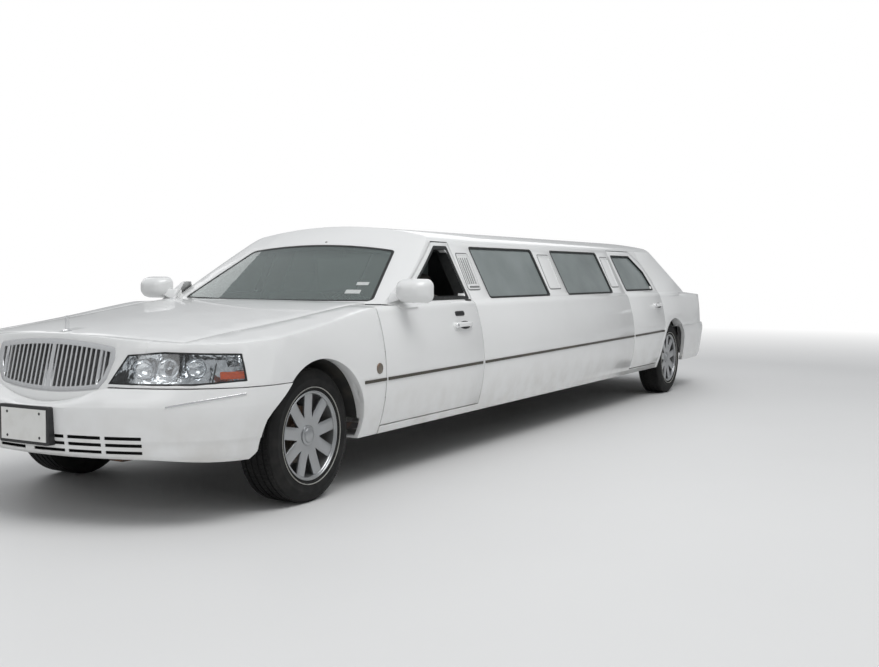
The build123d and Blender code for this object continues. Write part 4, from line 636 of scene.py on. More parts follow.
def dress_node(name, finish):
    """Gives a CAD node its finish and soft edges."""
    node = NODES[name]
    node.data.materials.clear()
    node.data.materials.append(FINISHES[finish])
    node.data.polygons.foreach_set("use_smooth", [True] * len(node.data.polygons))
    weld = node.modifiers.new("Weld", "WELD")
    weld.merge_threshold = NODE_WELD
    if finish in SOFT_EDGED:
        soften(node, SOFT_EDGED[finish], NODE_BEVEL_ANGLE)
    split = node.modifiers.new("Crisp edges", "EDGE_SPLIT")
    split.split_angle = math.radians(NODE_SHARP_ANGLE)


class LIMOUSINE_OT_finishes(bpy.types.Operator):
    """Makes every finish and gives the packed solids theirs"""

    bl_idname = "limousine.finishes"
    bl_label = "Make finishes"

    def execute(self, context):
        make_finishes(context.scene)
        for finish, names in NODE_FINISHES.items():
            for name in names:
                dress_node(name, finish)
        return {"FINISHED"}


# Stretches of the side moulding along X, on the nodes that carry them
MOULDING_STRETCHES = {
    "fender": (2.62, 2.84), "door_front": (1.43, 2.60), "side_panel": (-1.57, 1.39), "door_rear": (-2.43, -1.61),
    "quarter": (-2.46, -2.38),
}
MOULDING_THICKNESS = 0.006


def body_of_side(name, side_name):
    """Body that carries a side node."""
    return f"{name}_{side_name}" if name.startswith("door") else "root"


def moulding_z(x):
    """Height of the side moulding, which climbs a little towards the rear."""
    return 0.597 + (2.787 - x) * 0.0078


class LIMOUSINE_OT_side_mouldings(bpy.types.Operator):
    """Lays the thin bronze mouldings along both sides"""

    bl_idname = "limousine.side_mouldings"
    bl_label = "Side mouldings"

    def execute(self, context):
        height = context.scene.limousine_body.moulding_height
        for side_name, side in SIDES:
            for name, (x_low, x_high) in MOULDING_STRETCHES.items():
                path = []
                for x in spread(x_low, x_high, 13):
                    z = moulding_z(x)
                    path.append((Vector((x, side * side_y(z), z)), Vector((0, side, 0))))
                ribbon_piece(
                    f"moulding_{name}_{side_name}", [(path, height, MOULDING_THICKNESS)], UP, "bronze",
                    body_of_side(name, side_name), "chrome_trim", bevel=0.0012,
                )
        return {"FINISHED"}


# Outlines of the side windows as (X, Z) corners, and their corner radii
PILLAR_RUN = 1 / math.tan(math.radians(29.5))
WINDOW_LOW, WINDOW_HIGH = 1.042, 1.345
PILLAR_FOOT_X, PILLAR_FOOT_Z = FRONT_AXLE - 0.976, 1.002
FRONT_WINDOW = (
    (PILLAR_FOOT_X - (WINDOW_LOW - PILLAR_FOOT_Z) * PILLAR_RUN, WINDOW_LOW),
    (PILLAR_FOOT_X - (WINDOW_HIGH - PILLAR_FOOT_Z) * PILLAR_RUN, WINDOW_HIGH),
    (FRONT_AXLE - 1.743, WINDOW_HIGH),
    (FRONT_AXLE - 1.743, WINDOW_LOW),
)
FRONT_WINDOW_RADII = (0.012, 0.020, 0.012, 0.012)
# Outer edge of the dark frame of the front door window
DARK_FRAME = (
    (FRONT_AXLE - 0.985, 1.022), (FRONT_AXLE - 1.600, 1.370), (FRONT_AXLE - 1.772, 1.370), (FRONT_AXLE - 1.772, 1.022),
)
DARK_FRAME_RADII = (0.020, 0.045, 0.012, 0.012)
REAR_WINDOW = (
    (REAR_AXLE + 1.180, 1.042), (REAR_AXLE + 1.180, 1.345), (REAR_AXLE + 0.700, 1.345),
    (REAR_AXLE + 0.490, 1.200), (REAR_AXLE + 0.430, 1.042),
)
# Front and rear ends of the long windows, and the heights of their openings and gaskets
LONG_WINDOWS = (
    (FRONT_AXLE - 2.090, FRONT_AXLE - 3.095),
    (FRONT_AXLE - 3.485, FRONT_AXLE - 4.470),
)
LONG_WINDOW_LOW, LONG_WINDOW_HIGH = 1.030, 1.362
LONG_GASKET_LOW, LONG_GASKET_HIGH = 1.021, 1.374
LONG_GASKET_MARGIN = 0.008
# Corner radii outside and inside, and how far a gasket covers the edge of its opening
GASKET_RADIUS, GASKET_HOLE_RADIUS, GASKET_COVER = 0.026, 0.016, 0.003
# The liner of the front door window runs from just under the skin to the inner door panel
LINER_GAP, LINER_DEPTH, LINER_THICKNESS = 0.001, 0.078, 0.0015


def grown(points, amount):
    """Outline grown by an amount on each side."""
    count = len(points)
    ends = [points[(index + 1) % count] for index in range(count)]
    area = sum(first[0] * second[1] - second[0] * first[1] for first, second in zip(points, ends))
    turn = 1 if area > 0 else -1
    result = []
    for index in range(count):
        before, here, after = (Vector(points[(index + step) % count]) for step in (-1, 0, 1))
        normals = []
        for first, second in ((before, here), (here, after)):
            along = (second - first).normalized()
            normals.append(Vector((along.y, -along.x)) * turn)
        middle = (normals[0] + normals[1]).normalized()
        result.append(tuple(here + middle * (amount / max(middle.dot(normals[0]), 0.3))))
    return result


def window_liner(door, side):
    """Dark wall of the front door window's opening, from the skin inwards."""
    liner = bmesh.new()
    rounded_outline(liner, grown(FRONT_WINDOW, -LINER_GAP), FRONT_WINDOW_RADII)
    rim = list(liner.edges)
    bmesh.ops.delete(liner, geom=list(liner.faces), context="FACES_ONLY")
    made = bmesh.ops.extrude_edge_only(liner, edges=rim)["geom"]
    for vert in liner.verts:
        vert.co.y = body_y([door], vert.co.x, vert.co.z, side) - LINER_GAP
    for item in made:
        if isinstance(item, bmesh.types.BMVert):
            item.co.y -= LINER_DEPTH
    for vert in liner.verts:
        vert.co.y *= side
    bmesh.ops.recalc_face_normals(liner, faces=liner.faces)
    thicken(liner, LINER_THICKNESS)
    return liner


class LIMOUSINE_OT_window_gaskets(bpy.types.Operator):
    """Sets black gaskets round the side windows and dark liners in those of the front doors"""

    bl_idname = "limousine.window_gaskets"
    bl_label = "Window gaskets"

    def execute(self, context):
        width = context.scene.limousine_body.gasket_width
        frames = [("rear_door", REAR_WINDOW, grown(REAR_WINDOW, 0.6 * width), "door_rear")]
        for number, (x_front, x_rear) in enumerate(LONG_WINDOWS, 1):
            opening = upright(x_front, x_rear, LONG_WINDOW_LOW, LONG_WINDOW_HIGH)
            outer = upright(
                x_front + LONG_GASKET_MARGIN, x_rear - LONG_GASKET_MARGIN - width, LONG_GASKET_LOW, LONG_GASKET_HIGH
            )
            frames.append((f"long_{number}", opening, outer, "side_panel"))
        for side_name, side in SIDES:
            door = f"door_front_{side_name}"
            bm = side_form(
                DARK_FRAME, DARK_FRAME_RADII, 0, 0.0022, 0.012, side, [door], hole=(FRONT_WINDOW, FRONT_WINDOW_RADII)
            )
            piece(f"gasket_front_door_{side_name}", bm, "gasket", door, "black_plastic", bevel=0.001)
            piece(f"window_liner_{side_name}", window_liner(door, side), "gasket", door, "black_plastic")
            for name, opening, outer, node in frames:
                hole = (grown(opening, -GASKET_COVER), GASKET_HOLE_RADIUS)
                bm = side_form(outer, GASKET_RADIUS, 0, 0.0025, 0.020, side, [f"{node}_{side_name}"], hole=hole)
                body = body_of_side(node, side_name)
                piece(f"gasket_{name}_{side_name}", bm, "gasket", body, "black_plastic", bevel=0.001)
        return {"FINISHED"}


LOUVRE_PANELS = (
    # panel centre X at mid height, low Z, high Z, width, louvre count
    (FRONT_AXLE - 1.925, 1.085, 1.320, 0.165, 5),
    (FRONT_AXLE - 3.290, 1.075, 1.330, 0.215, 0),
    (REAR_AXLE + 1.410, 1.075, 1.330, 0.175, 0),
)
PILLAR_LEAN = 0.14
PANEL_RADIUS, PANEL_BORDER, PANEL_LIFT = 0.016, 0.009, 0.0040
# Grey ring of painted shade round each pillar panel: corner radius, margin outside the panel, and lift
GAP_SHADE_RADIUS, GAP_SHADE_MARGIN, GAP_SHADE_LIFT = 0.024, 0.008, 0.0012
PANEL_ROOT = 0.002
# Share of a panel's width that its louvres take up, their shift forwards, and their distance from its foot and top
LOUVRE_SHARE, LOUVRE_SHIFT, LOUVRE_FOOT, LOUVRE_TOP = 0.72, 0.004, 0.034, 0.024
QUARTER_CORNER = ((REAR_AXLE + 0.648, 1.398), (REAR_AXLE + 0.4525, 1.398), (REAR_AXLE + 0.4525, 1.290))
QUARTER_THICKNESS = 0.006


def leaning_outline(centre_x, z_low, z_high, width):
    """Upright panel outline that leans back with the pillars."""
    middle = (z_low + z_high) / 2
    return [
        (centre_x + end * width / 2 - (z - middle) * PILLAR_LEAN, z)
        for z, end in ((z_low, 1), (z_high, 1), (z_high, -1), (z_low, -1))
    ]


def add_louvres(panel, gap_shade, place, count, side, nodes):
    """Upright louvres on a panel, with a dark grey slot of painted shade beside each and a bar of the same painted
    shade below them.
    """
    centre_x, z_low, z_high, width = place
    low, high = z_low + LOUVRE_FOOT, z_high - LOUVRE_TOP
    reach = width * LOUVRE_SHARE / 2
    for offset in spread(LOUVRE_SHIFT - reach, LOUVRE_SHIFT + reach, count):
        louvre = leaning_outline(centre_x + offset - 0.006, low, high, 0.008)
        add_mesh(panel, side_form(louvre, 0.0035, 0, 0.0070, PANEL_ROOT, side, nodes))
        # Grey slot of painted shade beside the louvre
        slot = leaning_outline(centre_x + offset + 0.003, low, high, 0.009)
        add_mesh(gap_shade, side_form(slot, 0.003, 0, 0.0014, PANEL_ROOT, side, nodes))
    # Grey bar of painted shade below the louvres
    bar = leaning_outline(centre_x, z_low + 0.010, z_low + 0.022, width * 0.78)
    add_mesh(gap_shade, side_form(bar, 0.004, 0, 0.0050, PANEL_ROOT, side, nodes))


def quarter_corner(side):
    """Small painted triangle behind the top corner of the rear door."""
    bm = bmesh.new()
    bm.faces.new([bm.verts.new((x, side * glass_y(z), z)) for x, z in QUARTER_CORNER])
    bmesh.ops.translate(bm, verts=extrude_all(bm), vec=(0, -side * QUARTER_THICKNESS, 0))
    tidy(bm)
    return bm


class LIMOUSINE_OT_pillar_panels(bpy.types.Operator):
    """Puts inset panels and louvres on the broad pillars, and closes the corners of the quarters"""

    bl_idname = "limousine.pillar_panels"
    bl_label = "Pillar panels"

    def execute(self, context):
        for side_name, side in SIDES:
            piece(f"quarter_corner_{side_name}", quarter_corner(side), "paint", "root", "paint", bevel=0.001)
            nodes = [f"side_panel_{side_name}"]
            for number, (centre_x, z_low, z_high, width, louvres) in enumerate(LOUVRE_PANELS, 1):
                outline = leaning_outline(centre_x, z_low, z_high, width)
                panel = side_form(outline, PANEL_RADIUS, PANEL_BORDER, PANEL_LIFT, PANEL_ROOT, side, nodes)
                # Grey ring of painted shade round the panel; the louvre slots and bar of painted shade are added to it
                gap_shade_outline = grown(outline, GAP_SHADE_MARGIN)
                gap_shade = side_form(gap_shade_outline, GAP_SHADE_RADIUS, PANEL_BORDER, GAP_SHADE_LIFT, PANEL_ROOT, side, nodes)
                if louvres:
                    add_louvres(panel, gap_shade, (centre_x, z_low, z_high, width), louvres, side, nodes)
                piece(f"pillar_panel_{number}_{side_name}", panel, "paint", "root", "paint", bevel=0.0008)
                piece(f"pillar_seam_{number}_{side_name}", gap_shade, "shadow_gap", "root", "black_plastic")
        return {"FINISHED"}


# Door handles, drawn at the origin facing +Y: doors with X and Z of their middles, outline of the bezel,
# recess and its squash, lock cylinder
HANDLES = (("door_front", FRONT_AXLE - 1.565, 0.861), ("door_rear", REAR_AXLE + 0.473, 0.885))
HANDLE_BEZEL = ((-0.128, -0.030), (0.132, -0.030), (0.132, 0.030), (-0.128, 0.030))
HANDLE_CUP = ((HUB, 0.0035), (0.036, 0.0034), (0.044, 0.0028), (0.045, -0.004), (HUB, -0.004))
HANDLE_CUP_X, HANDLE_CUP_SCALE = -0.012, (1.65, 1, 0.60)
HANDLE_LOCK = ((HUB, 0.023), (0.0125, 0.023), (0.0155, 0.020), (0.0165, 0.004), (HUB, 0.004))
HANDLE_LOCK_X = 0.102
HANDLE_STEPS = (
    # distance along, how far it stands out, half height
    (-0.118, 0.003, 0.010), (-0.108, 0.013, 0.016), (-0.085, 0.026, 0.0175), (-0.045, 0.034, 0.0165),
    (0.005, 0.036, 0.0160), (0.050, 0.034, 0.0165), (0.078, 0.027, 0.0185), (0.095, 0.018, 0.0205),
    (0.112, 0.014, 0.0200), (0.122, 0.003, 0.014),
)
# Keypad on the left front door: outline, place, and its five keys
KEYPAD = ((-0.060, -0.0155), (0.060, -0.0155), (0.060, 0.0155), (-0.060, 0.0155))
KEYPAD_X, KEYPAD_Z = FRONT_AXLE - 1.551, 0.935
KEY_PITCH, KEY_HALF, KEY_LOW, KEY_HIGH = 0.021, 0.0085, 0.002, 0.0052


def raise_face(bm, height):
    """Turns a flat outline in the XZ plane into a plate that stands out by a height."""
    top = set(extrude_all(bm))
    for vert in bm.verts:
        vert.co.y = height if vert in top else -0.003


def place_on_side(bm, x, z, side):
    """Moves a form made at the origin, facing +Y, onto the body side and leans it with the surface."""
    tilt = -math.atan((side_y(z + 0.01) - side_y(z - 0.01)) / 0.02)
    bmesh.ops.rotate(bm, verts=bm.verts, cent=(0, 0, 0), matrix=Matrix.Rotation(tilt, 3, "X"))
    bmesh.ops.translate(bm, verts=bm.verts, vec=(x, side_y(z), z))
    if side < 0:
        bmesh.ops.scale(bm, verts=bm.verts, vec=(1, -1, 1))
    tidy(bm)


def handle_parts():
    """Bezel, dark cup, pull and lock of one door handle, each with its finish, slot and edges."""
    bezel, cup, pull, lock = (bmesh.new() for _ in range(4))
    rounded_outline(bezel, HANDLE_BEZEL, 0.027)
    raise_face(bezel, 0.0025)
    add_lathe(cup, HANDLE_CUP, (HANDLE_CUP_X, 0, 0), 1, 36)
    bmesh.ops.scale(cup, verts=cup.verts, vec=HANDLE_CUP_SCALE)
    rows = []
    for x, out, half in HANDLE_STEPS:
        places = (
            (max(out - 0.012, 0.001), -half * 0.9), (out, -half * 0.55), (out + 0.002, half * 0.5),
            (max(out - 0.010, 0.001), half),
        )
        rows.append([pull.verts.new((x, y, z)) for y, z in places])
    bridge_rows(pull, rows)
    add_lathe(lock, HANDLE_LOCK, (HANDLE_LOCK_X, 0, 0), 1, 32)
    return (
        ("bezel", bezel, "paint", "paint", {"bevel": 0.001}),
        ("cup", cup, "black", "black_plastic", {}),
        ("pull", pull, "paint", "paint", {"bevel": 0.002, "subdivide": 1}),
        ("lock", lock, "chrome", "chrome_trim", {"bevel": 0.0006}),
    )


class LIMOUSINE_OT_door_handles(bpy.types.Operator):
    """Makes pull handles with bezels, lock cylinders, a keypad and dark recesses"""

    bl_idname = "limousine.door_handles"
    bl_label = "Door handles"

    def execute(self, context):
        for side_name, side in SIDES:
            for name, centre_x, height in HANDLES:
                body = f"{name}_{side_name}"
                for part, bm, finish, slot, edges in handle_parts():
                    place_on_side(bm, centre_x, height, side)
                    piece(f"handle_{part}_{body}", bm, finish, body, slot, **edges)
        keypad, keys = bmesh.new(), bmesh.new()
        rounded_outline(keypad, KEYPAD, 0.015)
        raise_face(keypad, 0.004)
        for x in spread(-2 * KEY_PITCH, 2 * KEY_PITCH, 5):
            add_block(keys, (x - KEY_HALF, KEY_LOW, -KEY_HALF), (x + KEY_HALF, KEY_HIGH, KEY_HALF))
        for name, bm, finish in (("entry_keypad", keypad, "black"), ("entry_keys", keys, "gasket")):
            place_on_side(bm, KEYPAD_X, KEYPAD_Z, 1)
            piece(name, bm, finish, "door_front_left", "black_plastic", bevel=0.001)
        return {"FINISHED"}


# ------------------------------------------------------------------ wheels

WHEELS = [
    (f"{axle}_{side_name}", side, Vector((x, side * y, WHEEL_HEIGHT)))
    for axle, x, y in (("front", FRONT_AXLE, 0.805), ("rear", REAR_AXLE, 0.825))
    for side_name, side in SIDES
]
TYRE_PROFILE = (
    # radius, distance outwards from the middle of the tread
    (0.216, 0.094), (0.231, 0.1000), (0.241, 0.1055), (0.247, 0.1082), (0.254, 0.1090), (0.270, 0.1115),
    (0.288, 0.1125), (0.291, 0.1135), (0.296, 0.1135), (0.299, 0.1120), (0.316, 0.1085), (0.330, 0.1015),
    (0.337, 0.0960),
)
TREAD_EDGES = (0.0925, 0.058, 0.020, -0.020, -0.058, -0.0925)
TREAD_RIBS = ((-0.090, -0.062), (-0.055, -0.024), (-0.016, 0.016), (0.024, 0.055), (0.062, 0.090))
GROOVE_RADIUS, TREAD_DROP = 0.3435, 0.02
RIB_RADIUS, SHOULDER_RADIUS = 0.3494, 0.3484
TREAD_GAP, TREAD_DEPTH = 0.0018, 0.008
# Where the pale line starts in the tyre's wall, and its faces at its inner and outer edge
LINE_FOOT, LINE_INNER, LINE_OUTER = 0.1090, 0.1122, 0.1130


def turn_outwards(bm, centre):
    """Turns faces away from a wheel's axis."""
    for face in bm.faces:
        outward = face.calc_center_median() - centre
        outward.y = 0
        face.normal_update()
        if face.normal.dot(outward) < 0:
            face.normal_flip()


def tread_blocks(centre, side, count):
    """Blocks of the tread ribs, with a gap round each."""
    blocks = bmesh.new()
    for low, high in TREAD_RIBS:
        radius = RIB_RADIUS if abs(low + high) < 0.12 else SHOULDER_RADIUS
        add_lathe(blocks, [(radius, low), (radius, high)], centre, side, count)
    bmesh.ops.remove_doubles(blocks, verts=blocks.verts, dist=WELD)
    turn_outwards(blocks, centre)
    bmesh.ops.split_edges(blocks, edges=blocks.edges)
    rims = bmesh.ops.inset_individual(blocks, faces=list(blocks.faces), thickness=TREAD_GAP, depth=0.0)["faces"]
    bmesh.ops.delete(blocks, geom=rims, context="FACES")
    thicken(blocks, TREAD_DEPTH)
    return blocks


class LIMOUSINE_OT_tyres(bpy.types.Operator):
    """Makes the tyres with their treads and thin pale lines"""

    bl_idname = "limousine.tyres"
    bl_label = "Tyres"

    def execute(self, context):
        settings = context.scene.limousine_wheels
        inner = settings.white_line_radius - settings.white_line_width / 2
        outer = settings.white_line_radius + settings.white_line_width / 2
        line = [(inner, LINE_FOOT), (inner, LINE_INNER), (outer, LINE_OUTER), (outer, LINE_FOOT)]
        tread = [(GROOVE_RADIUS - abs(along) * TREAD_DROP, along) for along in TREAD_EDGES]
        far_wall = [(radius, -along) for radius, along in reversed(TYRE_PROFILE)]
        for name, side, centre in WHEELS:
            bm = bmesh.new()
            add_lathe(bm, [*TYRE_PROFILE, *tread, *far_wall, TYRE_PROFILE[0]], centre, side, settings.tread_blocks)
            tidy(bm)
            add_mesh(bm, tread_blocks(centre, side, settings.tread_blocks))
            piece(f"tread_{name}", bm, "rubber", f"wheel_{name}", "tyre_rubber", replaces=(f"tyre_{name}",), angle=30)
            turned_piece(f"white_line_{name}", line, centre, side, 96, "white_line", f"wheel_{name}", "tyre_rubber")
        return {"FINISHED"}


# Spoke face: radius, half width, distance outwards from the wheel's middle
SPOKE_STATIONS = (
    (0.040, 0.0140, 0.080), (0.070, 0.0250, 0.083), (0.098, 0.0345, 0.085), (0.125, 0.0338, 0.087),
    (0.165, 0.0338, 0.089), (0.200, 0.0342, 0.091), (0.222, 0.0350, 0.093),
)
SPOKE_THICKNESS, SPOKE_EDGE_DROP = 0.016, 0.004
RIM_PROFILE = (
    (0.2155, -0.094), (0.2155, 0.0930), (0.2200, 0.1000), (0.2325, 0.1015), (0.2338, 0.1040), (0.2320, 0.1062),
    (0.2285, 0.1062), (0.2262, 0.1030), (0.2235, 0.0960), (0.2205, 0.0900), (0.2160, 0.0700), (0.2100, 0.0300),
    (0.2080, -0.0400), (0.2100, -0.094), (0.2155, -0.094),
)
CAP_PROFILE = (
    (HUB, 0.1000), (0.018, 0.0990), (0.034, 0.0955), (0.0375, 0.0930), (0.0385, 0.0895), (0.047, 0.0890),
    (0.052, 0.0860), (0.053, 0.070), (HUB, 0.070),
)
BRAKE_PROFILE = (
    (HUB, 0.030), (0.070, 0.030), (0.074, 0.014), (0.148, 0.014), (0.150, 0.012), (0.150, -0.010),
    (0.148, -0.012), (HUB, -0.012),
)


def spoke_face(side, centre, count):
    """Sheet of spokes: one of them from a grid, turned round the axle, then given its wall."""
    bm = bmesh.new()
    last = len(SPOKE_STATIONS) - 1
    for vert in bmesh.ops.create_grid(bm, x_segments=6, y_segments=last, size=1.0)["verts"]:
        row = round((vert.co.y + 1) / 2 * last)
        radius, half, out = SPOKE_STATIONS[row]
        turn = vert.co.x * min(math.asin(half / radius), math.pi / count)
        sunk = SPOKE_EDGE_DROP if abs(vert.co.x) > 0.9 and row > 2 else 0.0
        vert.co = (radius * math.sin(turn), out - sunk, radius * math.cos(turn))
    bmesh.ops.spin(
        bm, geom=list(bm.verts) + list(bm.edges) + list(bm.faces), cent=(0, 0, 0), axis=ACROSS, angle=math.tau,
        steps=count, use_duplicate=True, use_merge=False,
    )
    tidy(bm, 0.0004)
    thicken(bm, SPOKE_THICKNESS)
    bmesh.ops.scale(bm, verts=bm.verts, vec=(1, side, 1))
    bmesh.ops.translate(bm, verts=bm.verts, vec=centre)
    bmesh.ops.recalc_face_normals(bm, faces=bm.faces)
    return bm


class LIMOUSINE_OT_wheels(bpy.types.Operator):
    """Makes the spoked wheels, their caps and the brakes behind them"""

    bl_idname = "limousine.wheels"
    bl_label = "Wheels"

    def execute(self, context):
        count = context.scene.limousine_wheels.spoke_count
        for name, side, centre in WHEELS:
            body = f"wheel_{name}"
            piece(
                f"spokes_{name}", spoke_face(side, centre, count), "alloy", body, "wheel_alloy",
                replaces=(f"rim_{name}",), bevel=0.0016,
            )
            turned_piece(f"barrel_{name}", RIM_PROFILE, centre, side, 96, "alloy", body, "wheel_alloy", bevel=0.0008)
            turned_piece(f"cap_{name}", CAP_PROFILE, centre, side, 60, "alloy", body, "wheel_alloy", bevel=0.0006)
            turned_piece(f"brake_disc_{name}", BRAKE_PROFILE, centre, side, 72, "pipe", body, "chassis_steel")
        return {"FINISHED"}


# ----------------------------------------------------------- nose and tail

# Lamp bowls: Y, Z, radius and depth of each, and how deep their rims sit behind the lens
LAMP_BOWLS = ((0.545, 0.738, 0.050, 0.034), (0.655, 0.742, 0.054, 0.036), (0.765, 0.744, 0.050, 0.034))
BOWL_SINK = 0.028
# Amber reflector and the divider beside it, inside the lamp
AMBER_Z, AMBER_SPAN, AMBER_HEIGHT = 0.712, (0.858, 0.928), 0.036
DIVIDER_Y, DIVIDER_SPAN, DIVIDER_WIDTH = 0.838, (0.682, 0.768), 0.010
LAMP_WALL, LAMP_GASKET_WIDTH, LAMP_GASKET_LIFT = 0.003, 0.008, 0.0014


def lamp_shells(side):
    """Clear front, housing behind it and gasket of one headlamp, all cut from the packed lamp."""
    outward = Vector((0.80, 0.60 * side, 0)).normalized()

    def in_front(face):
        normal = face.normal
        end_wall = abs(normal.x) < 0.02 and abs(normal.z) > 0.2
        return normal.dot(outward) > 0.30 and abs(normal.z) < 0.8 and not end_wall

    lens = merged_half("headlamps", side)
    bmesh.ops.dissolve_limit(lens, angle_limit=math.radians(0.5), verts=lens.verts, edges=lens.edges)
    bmesh.ops.triangulate(lens, faces=lens.faces)
    housing = lens.copy()
    keep_faces(lens, in_front)
    keep_faces(housing, lambda face: not in_front(face))
    gasket = lens.copy()
    bmesh.ops.dissolve_limit(gasket, angle_limit=math.radians(6), verts=gasket.verts, edges=gasket.edges)
    keep_band(gasket, LAMP_GASKET_WIDTH)
    bmesh.ops.translate(gasket, verts=gasket.verts, vec=outward * LAMP_GASKET_LIFT)
    thicken(gasket, LAMP_WALL)
    thicken(lens, LAMP_WALL)
    bmesh.ops.recalc_face_normals(lens, faces=lens.faces)
    bmesh.ops.reverse_faces(housing, faces=housing.faces)
    return lens, housing, gasket


def lamp_bowls(side):
    """Round reflectors with a bulb cap in each."""
    bowls = bmesh.new()
    facing = Vector((0.93, 0.36 * side, 0)).normalized()
    for y, z, radius, depth in LAMP_BOWLS:
        hit, _ = on_skin("headlamps", (FRONT_AXLE + 2, side * y, z), (-1, 0, 0))
        rim = hit - facing * BOWL_SINK
        curve = [(radius * math.cos(step * 0.26), -depth * math.sin(step * 0.26)) for step in range(1, 6)]
        add_lathe(bowls, [(radius, 0.0), (radius * 0.97, -0.004), *curve, (HUB, -depth)], rim, 1, 40, facing)
        bulb = [(HUB, -depth + 0.030), (0.006, -depth + 0.027), (0.0075, -depth + 0.015), (0.0085, -depth)]
        add_lathe(bowls, bulb, rim, 1, 16, facing)
    return bowls


class LIMOUSINE_OT_headlamps(bpy.types.Operator):
    """Makes clear lamp lenses over reflector bowls, with amber reflectors and dark gaskets"""

    bl_idname = "limousine.headlamps"
    bl_label = "Headlamps"

    def execute(self, context):
        for side_name, side in SIDES:
            lens, housing, gasket = lamp_shells(side)
            piece(f"headlamp_lens_{side_name}", lens, "lens", "root", "lamp_clear", replaces=("headlamps",))
            piece(f"headlamp_housing_{side_name}", housing, "bowl", "root", "lamp_clear", angle=25)
            piece(f"headlamp_bowls_{side_name}", lamp_bowls(side), "bowl", "root", "lamp_clear")
            path = nose_path("headlamps", [(side * y, AMBER_Z) for y in spread(*AMBER_SPAN, 7)])
            ribbon_piece(
                f"headlamp_amber_{side_name}", [(path, AMBER_HEIGHT, 0.004)], UP, "amber", "root", "lamp_red",
                rise=-0.010, bevel=0.0015,
            )
            path = nose_path("headlamps", [(side * DIVIDER_Y, z) for z in spread(*DIVIDER_SPAN, 6)])
            ribbon_piece(
                f"headlamp_divider_{side_name}", [(path, DIVIDER_WIDTH, 0.006)], (0.6, 0.8 * side, 0), "gasket",
                "root", "black_plastic", rise=-0.011,
            )
            piece(f"headlamp_gasket_{side_name}", gasket, "gasket", "root", "black_plastic")
        return {"FINISHED"}


# Bumper outlines in plan: height, middle reach, front half width and reach, corner half width and
# reach, side half width and reach, back half width and reach
FRONT_BUMPER = (
    (0.300, 0.990, 0.600, 0.868, 0.894, 0.548, 0.926, 0.421, 0.930, 0.150),
    (0.325, 1.010, 0.600, 0.884, 0.908, 0.556, 0.936, 0.422, 0.940, 0.150),
    (0.345, 1.018, 0.600, 0.890, 0.914, 0.561, 0.943, 0.422, 0.947, 0.150),
    (0.398, 1.023, 0.600, 0.894, 0.925, 0.565, 0.955, 0.423, 0.959, 0.150),
    (0.408, 1.027, 0.600, 0.898, 0.930, 0.568, 0.961, 0.424, 0.965, 0.150),
    (0.560, 1.035, 0.600, 0.905, 0.956, 0.572, 0.991, 0.425, 0.995, 0.150),
    (0.600, 1.024, 0.600, 0.895, 0.956, 0.568, 0.993, 0.425, 0.997, 0.150),
    (0.652, 0.972, 0.600, 0.866, 0.948, 0.564, 0.990, 0.425, 0.994, 0.150),
)
REAR_BUMPER = (
    (0.300, 1.385, 0.600, 1.345, 0.900, 1.110, 0.934, 0.930, 0.938, 0.150),
    (0.345, 1.425, 0.600, 1.372, 0.915, 1.135, 0.950, 0.935, 0.954, 0.150),
    (0.590, 1.445, 0.600, 1.390, 0.945, 1.150, 0.992, 0.940, 0.996, 0.150),
    (0.630, 1.436, 0.600, 1.382, 0.945, 1.146, 0.992, 0.940, 0.996, 0.150),
    (0.668, 1.420, 0.600, 1.366, 0.938, 1.136, 0.989, 0.940, 0.993, 0.150),
)
# Air slots: spans of half width, and the heights of the three rows
SLOT_SPANS = ((0.030, 0.220), (0.240, 0.412), (0.432, 0.600))
SLOT_ROWS = ((0.350, 0.366), (0.384, 0.400), (0.417, 0.433))
FRONT_HEIGHTS = sorted([
    0.300, 0.304, 0.312, 0.325, 0.3375, *[edge for row in SLOT_ROWS for edge in row],
    0.408, 0.450, 0.487, 0.524, 0.560, 0.572, 0.584, 0.594, 0.608, 0.624, 0.640, 0.652,
])
FRONT_MIDDLES = sorted({
    0.0, *[edge for span in SLOT_SPANS for edge in span],
    *spread(0.068, 0.182, 4), *spread(0.283, 0.369, 3), *spread(0.474, 0.558, 3),
})
REAR_HEIGHTS = (0.300, 0.312, 0.328, 0.345, 0.38, 0.43, 0.48, 0.53, 0.56, 0.59, 0.61, 0.63, 0.65, 0.668)
# Heights above and below which the rows follow the top edge and the chin
TOP_FROM, CHIN_FROM = 0.56, 0.35
# Curve of the top edge under the grille: half width, drop and height in the middle
SMILE_HALF, SMILE_DROP, SMILE_Z = 0.392, 0.0805, 0.572
CHIN_Z, CHIN_RISE = 0.324, 0.022
FRONT_ARCH, REAR_ARCH, ARCH_Z = 0.402, 0.392, 0.35
# Extra distance from the front arch low down, which eases out between two heights, and how both covers are
# cut away below CUT_Z
ARCH_EASE, EASE_LOW, EASE_HIGH = 0.066, 0.480, 0.640
CUT_SLOPE, CUT_Z = 0.9, 0.336
# Steps round a corner and along a flank
CORNER_STEPS, FLANK_STEPS = 8, 5
# Return at the arch, width of the lips above and below, and the wall
ARCH_RETURN, LIP_WIDTH, COVER_WALL = 0.034, 0.036, 0.004


def between(rows, value):
    """Row of a table at a value of its first column."""
    value = min(max(value, rows[0][0]), rows[-1][0])
    for low, high in zip(rows, rows[1:]):
        if value <= high[0]:
            share = (value - low[0]) / (high[0] - low[0])
            return [first + (second - first) * share for first, second in zip(low, high)]
    return list(rows[-1])


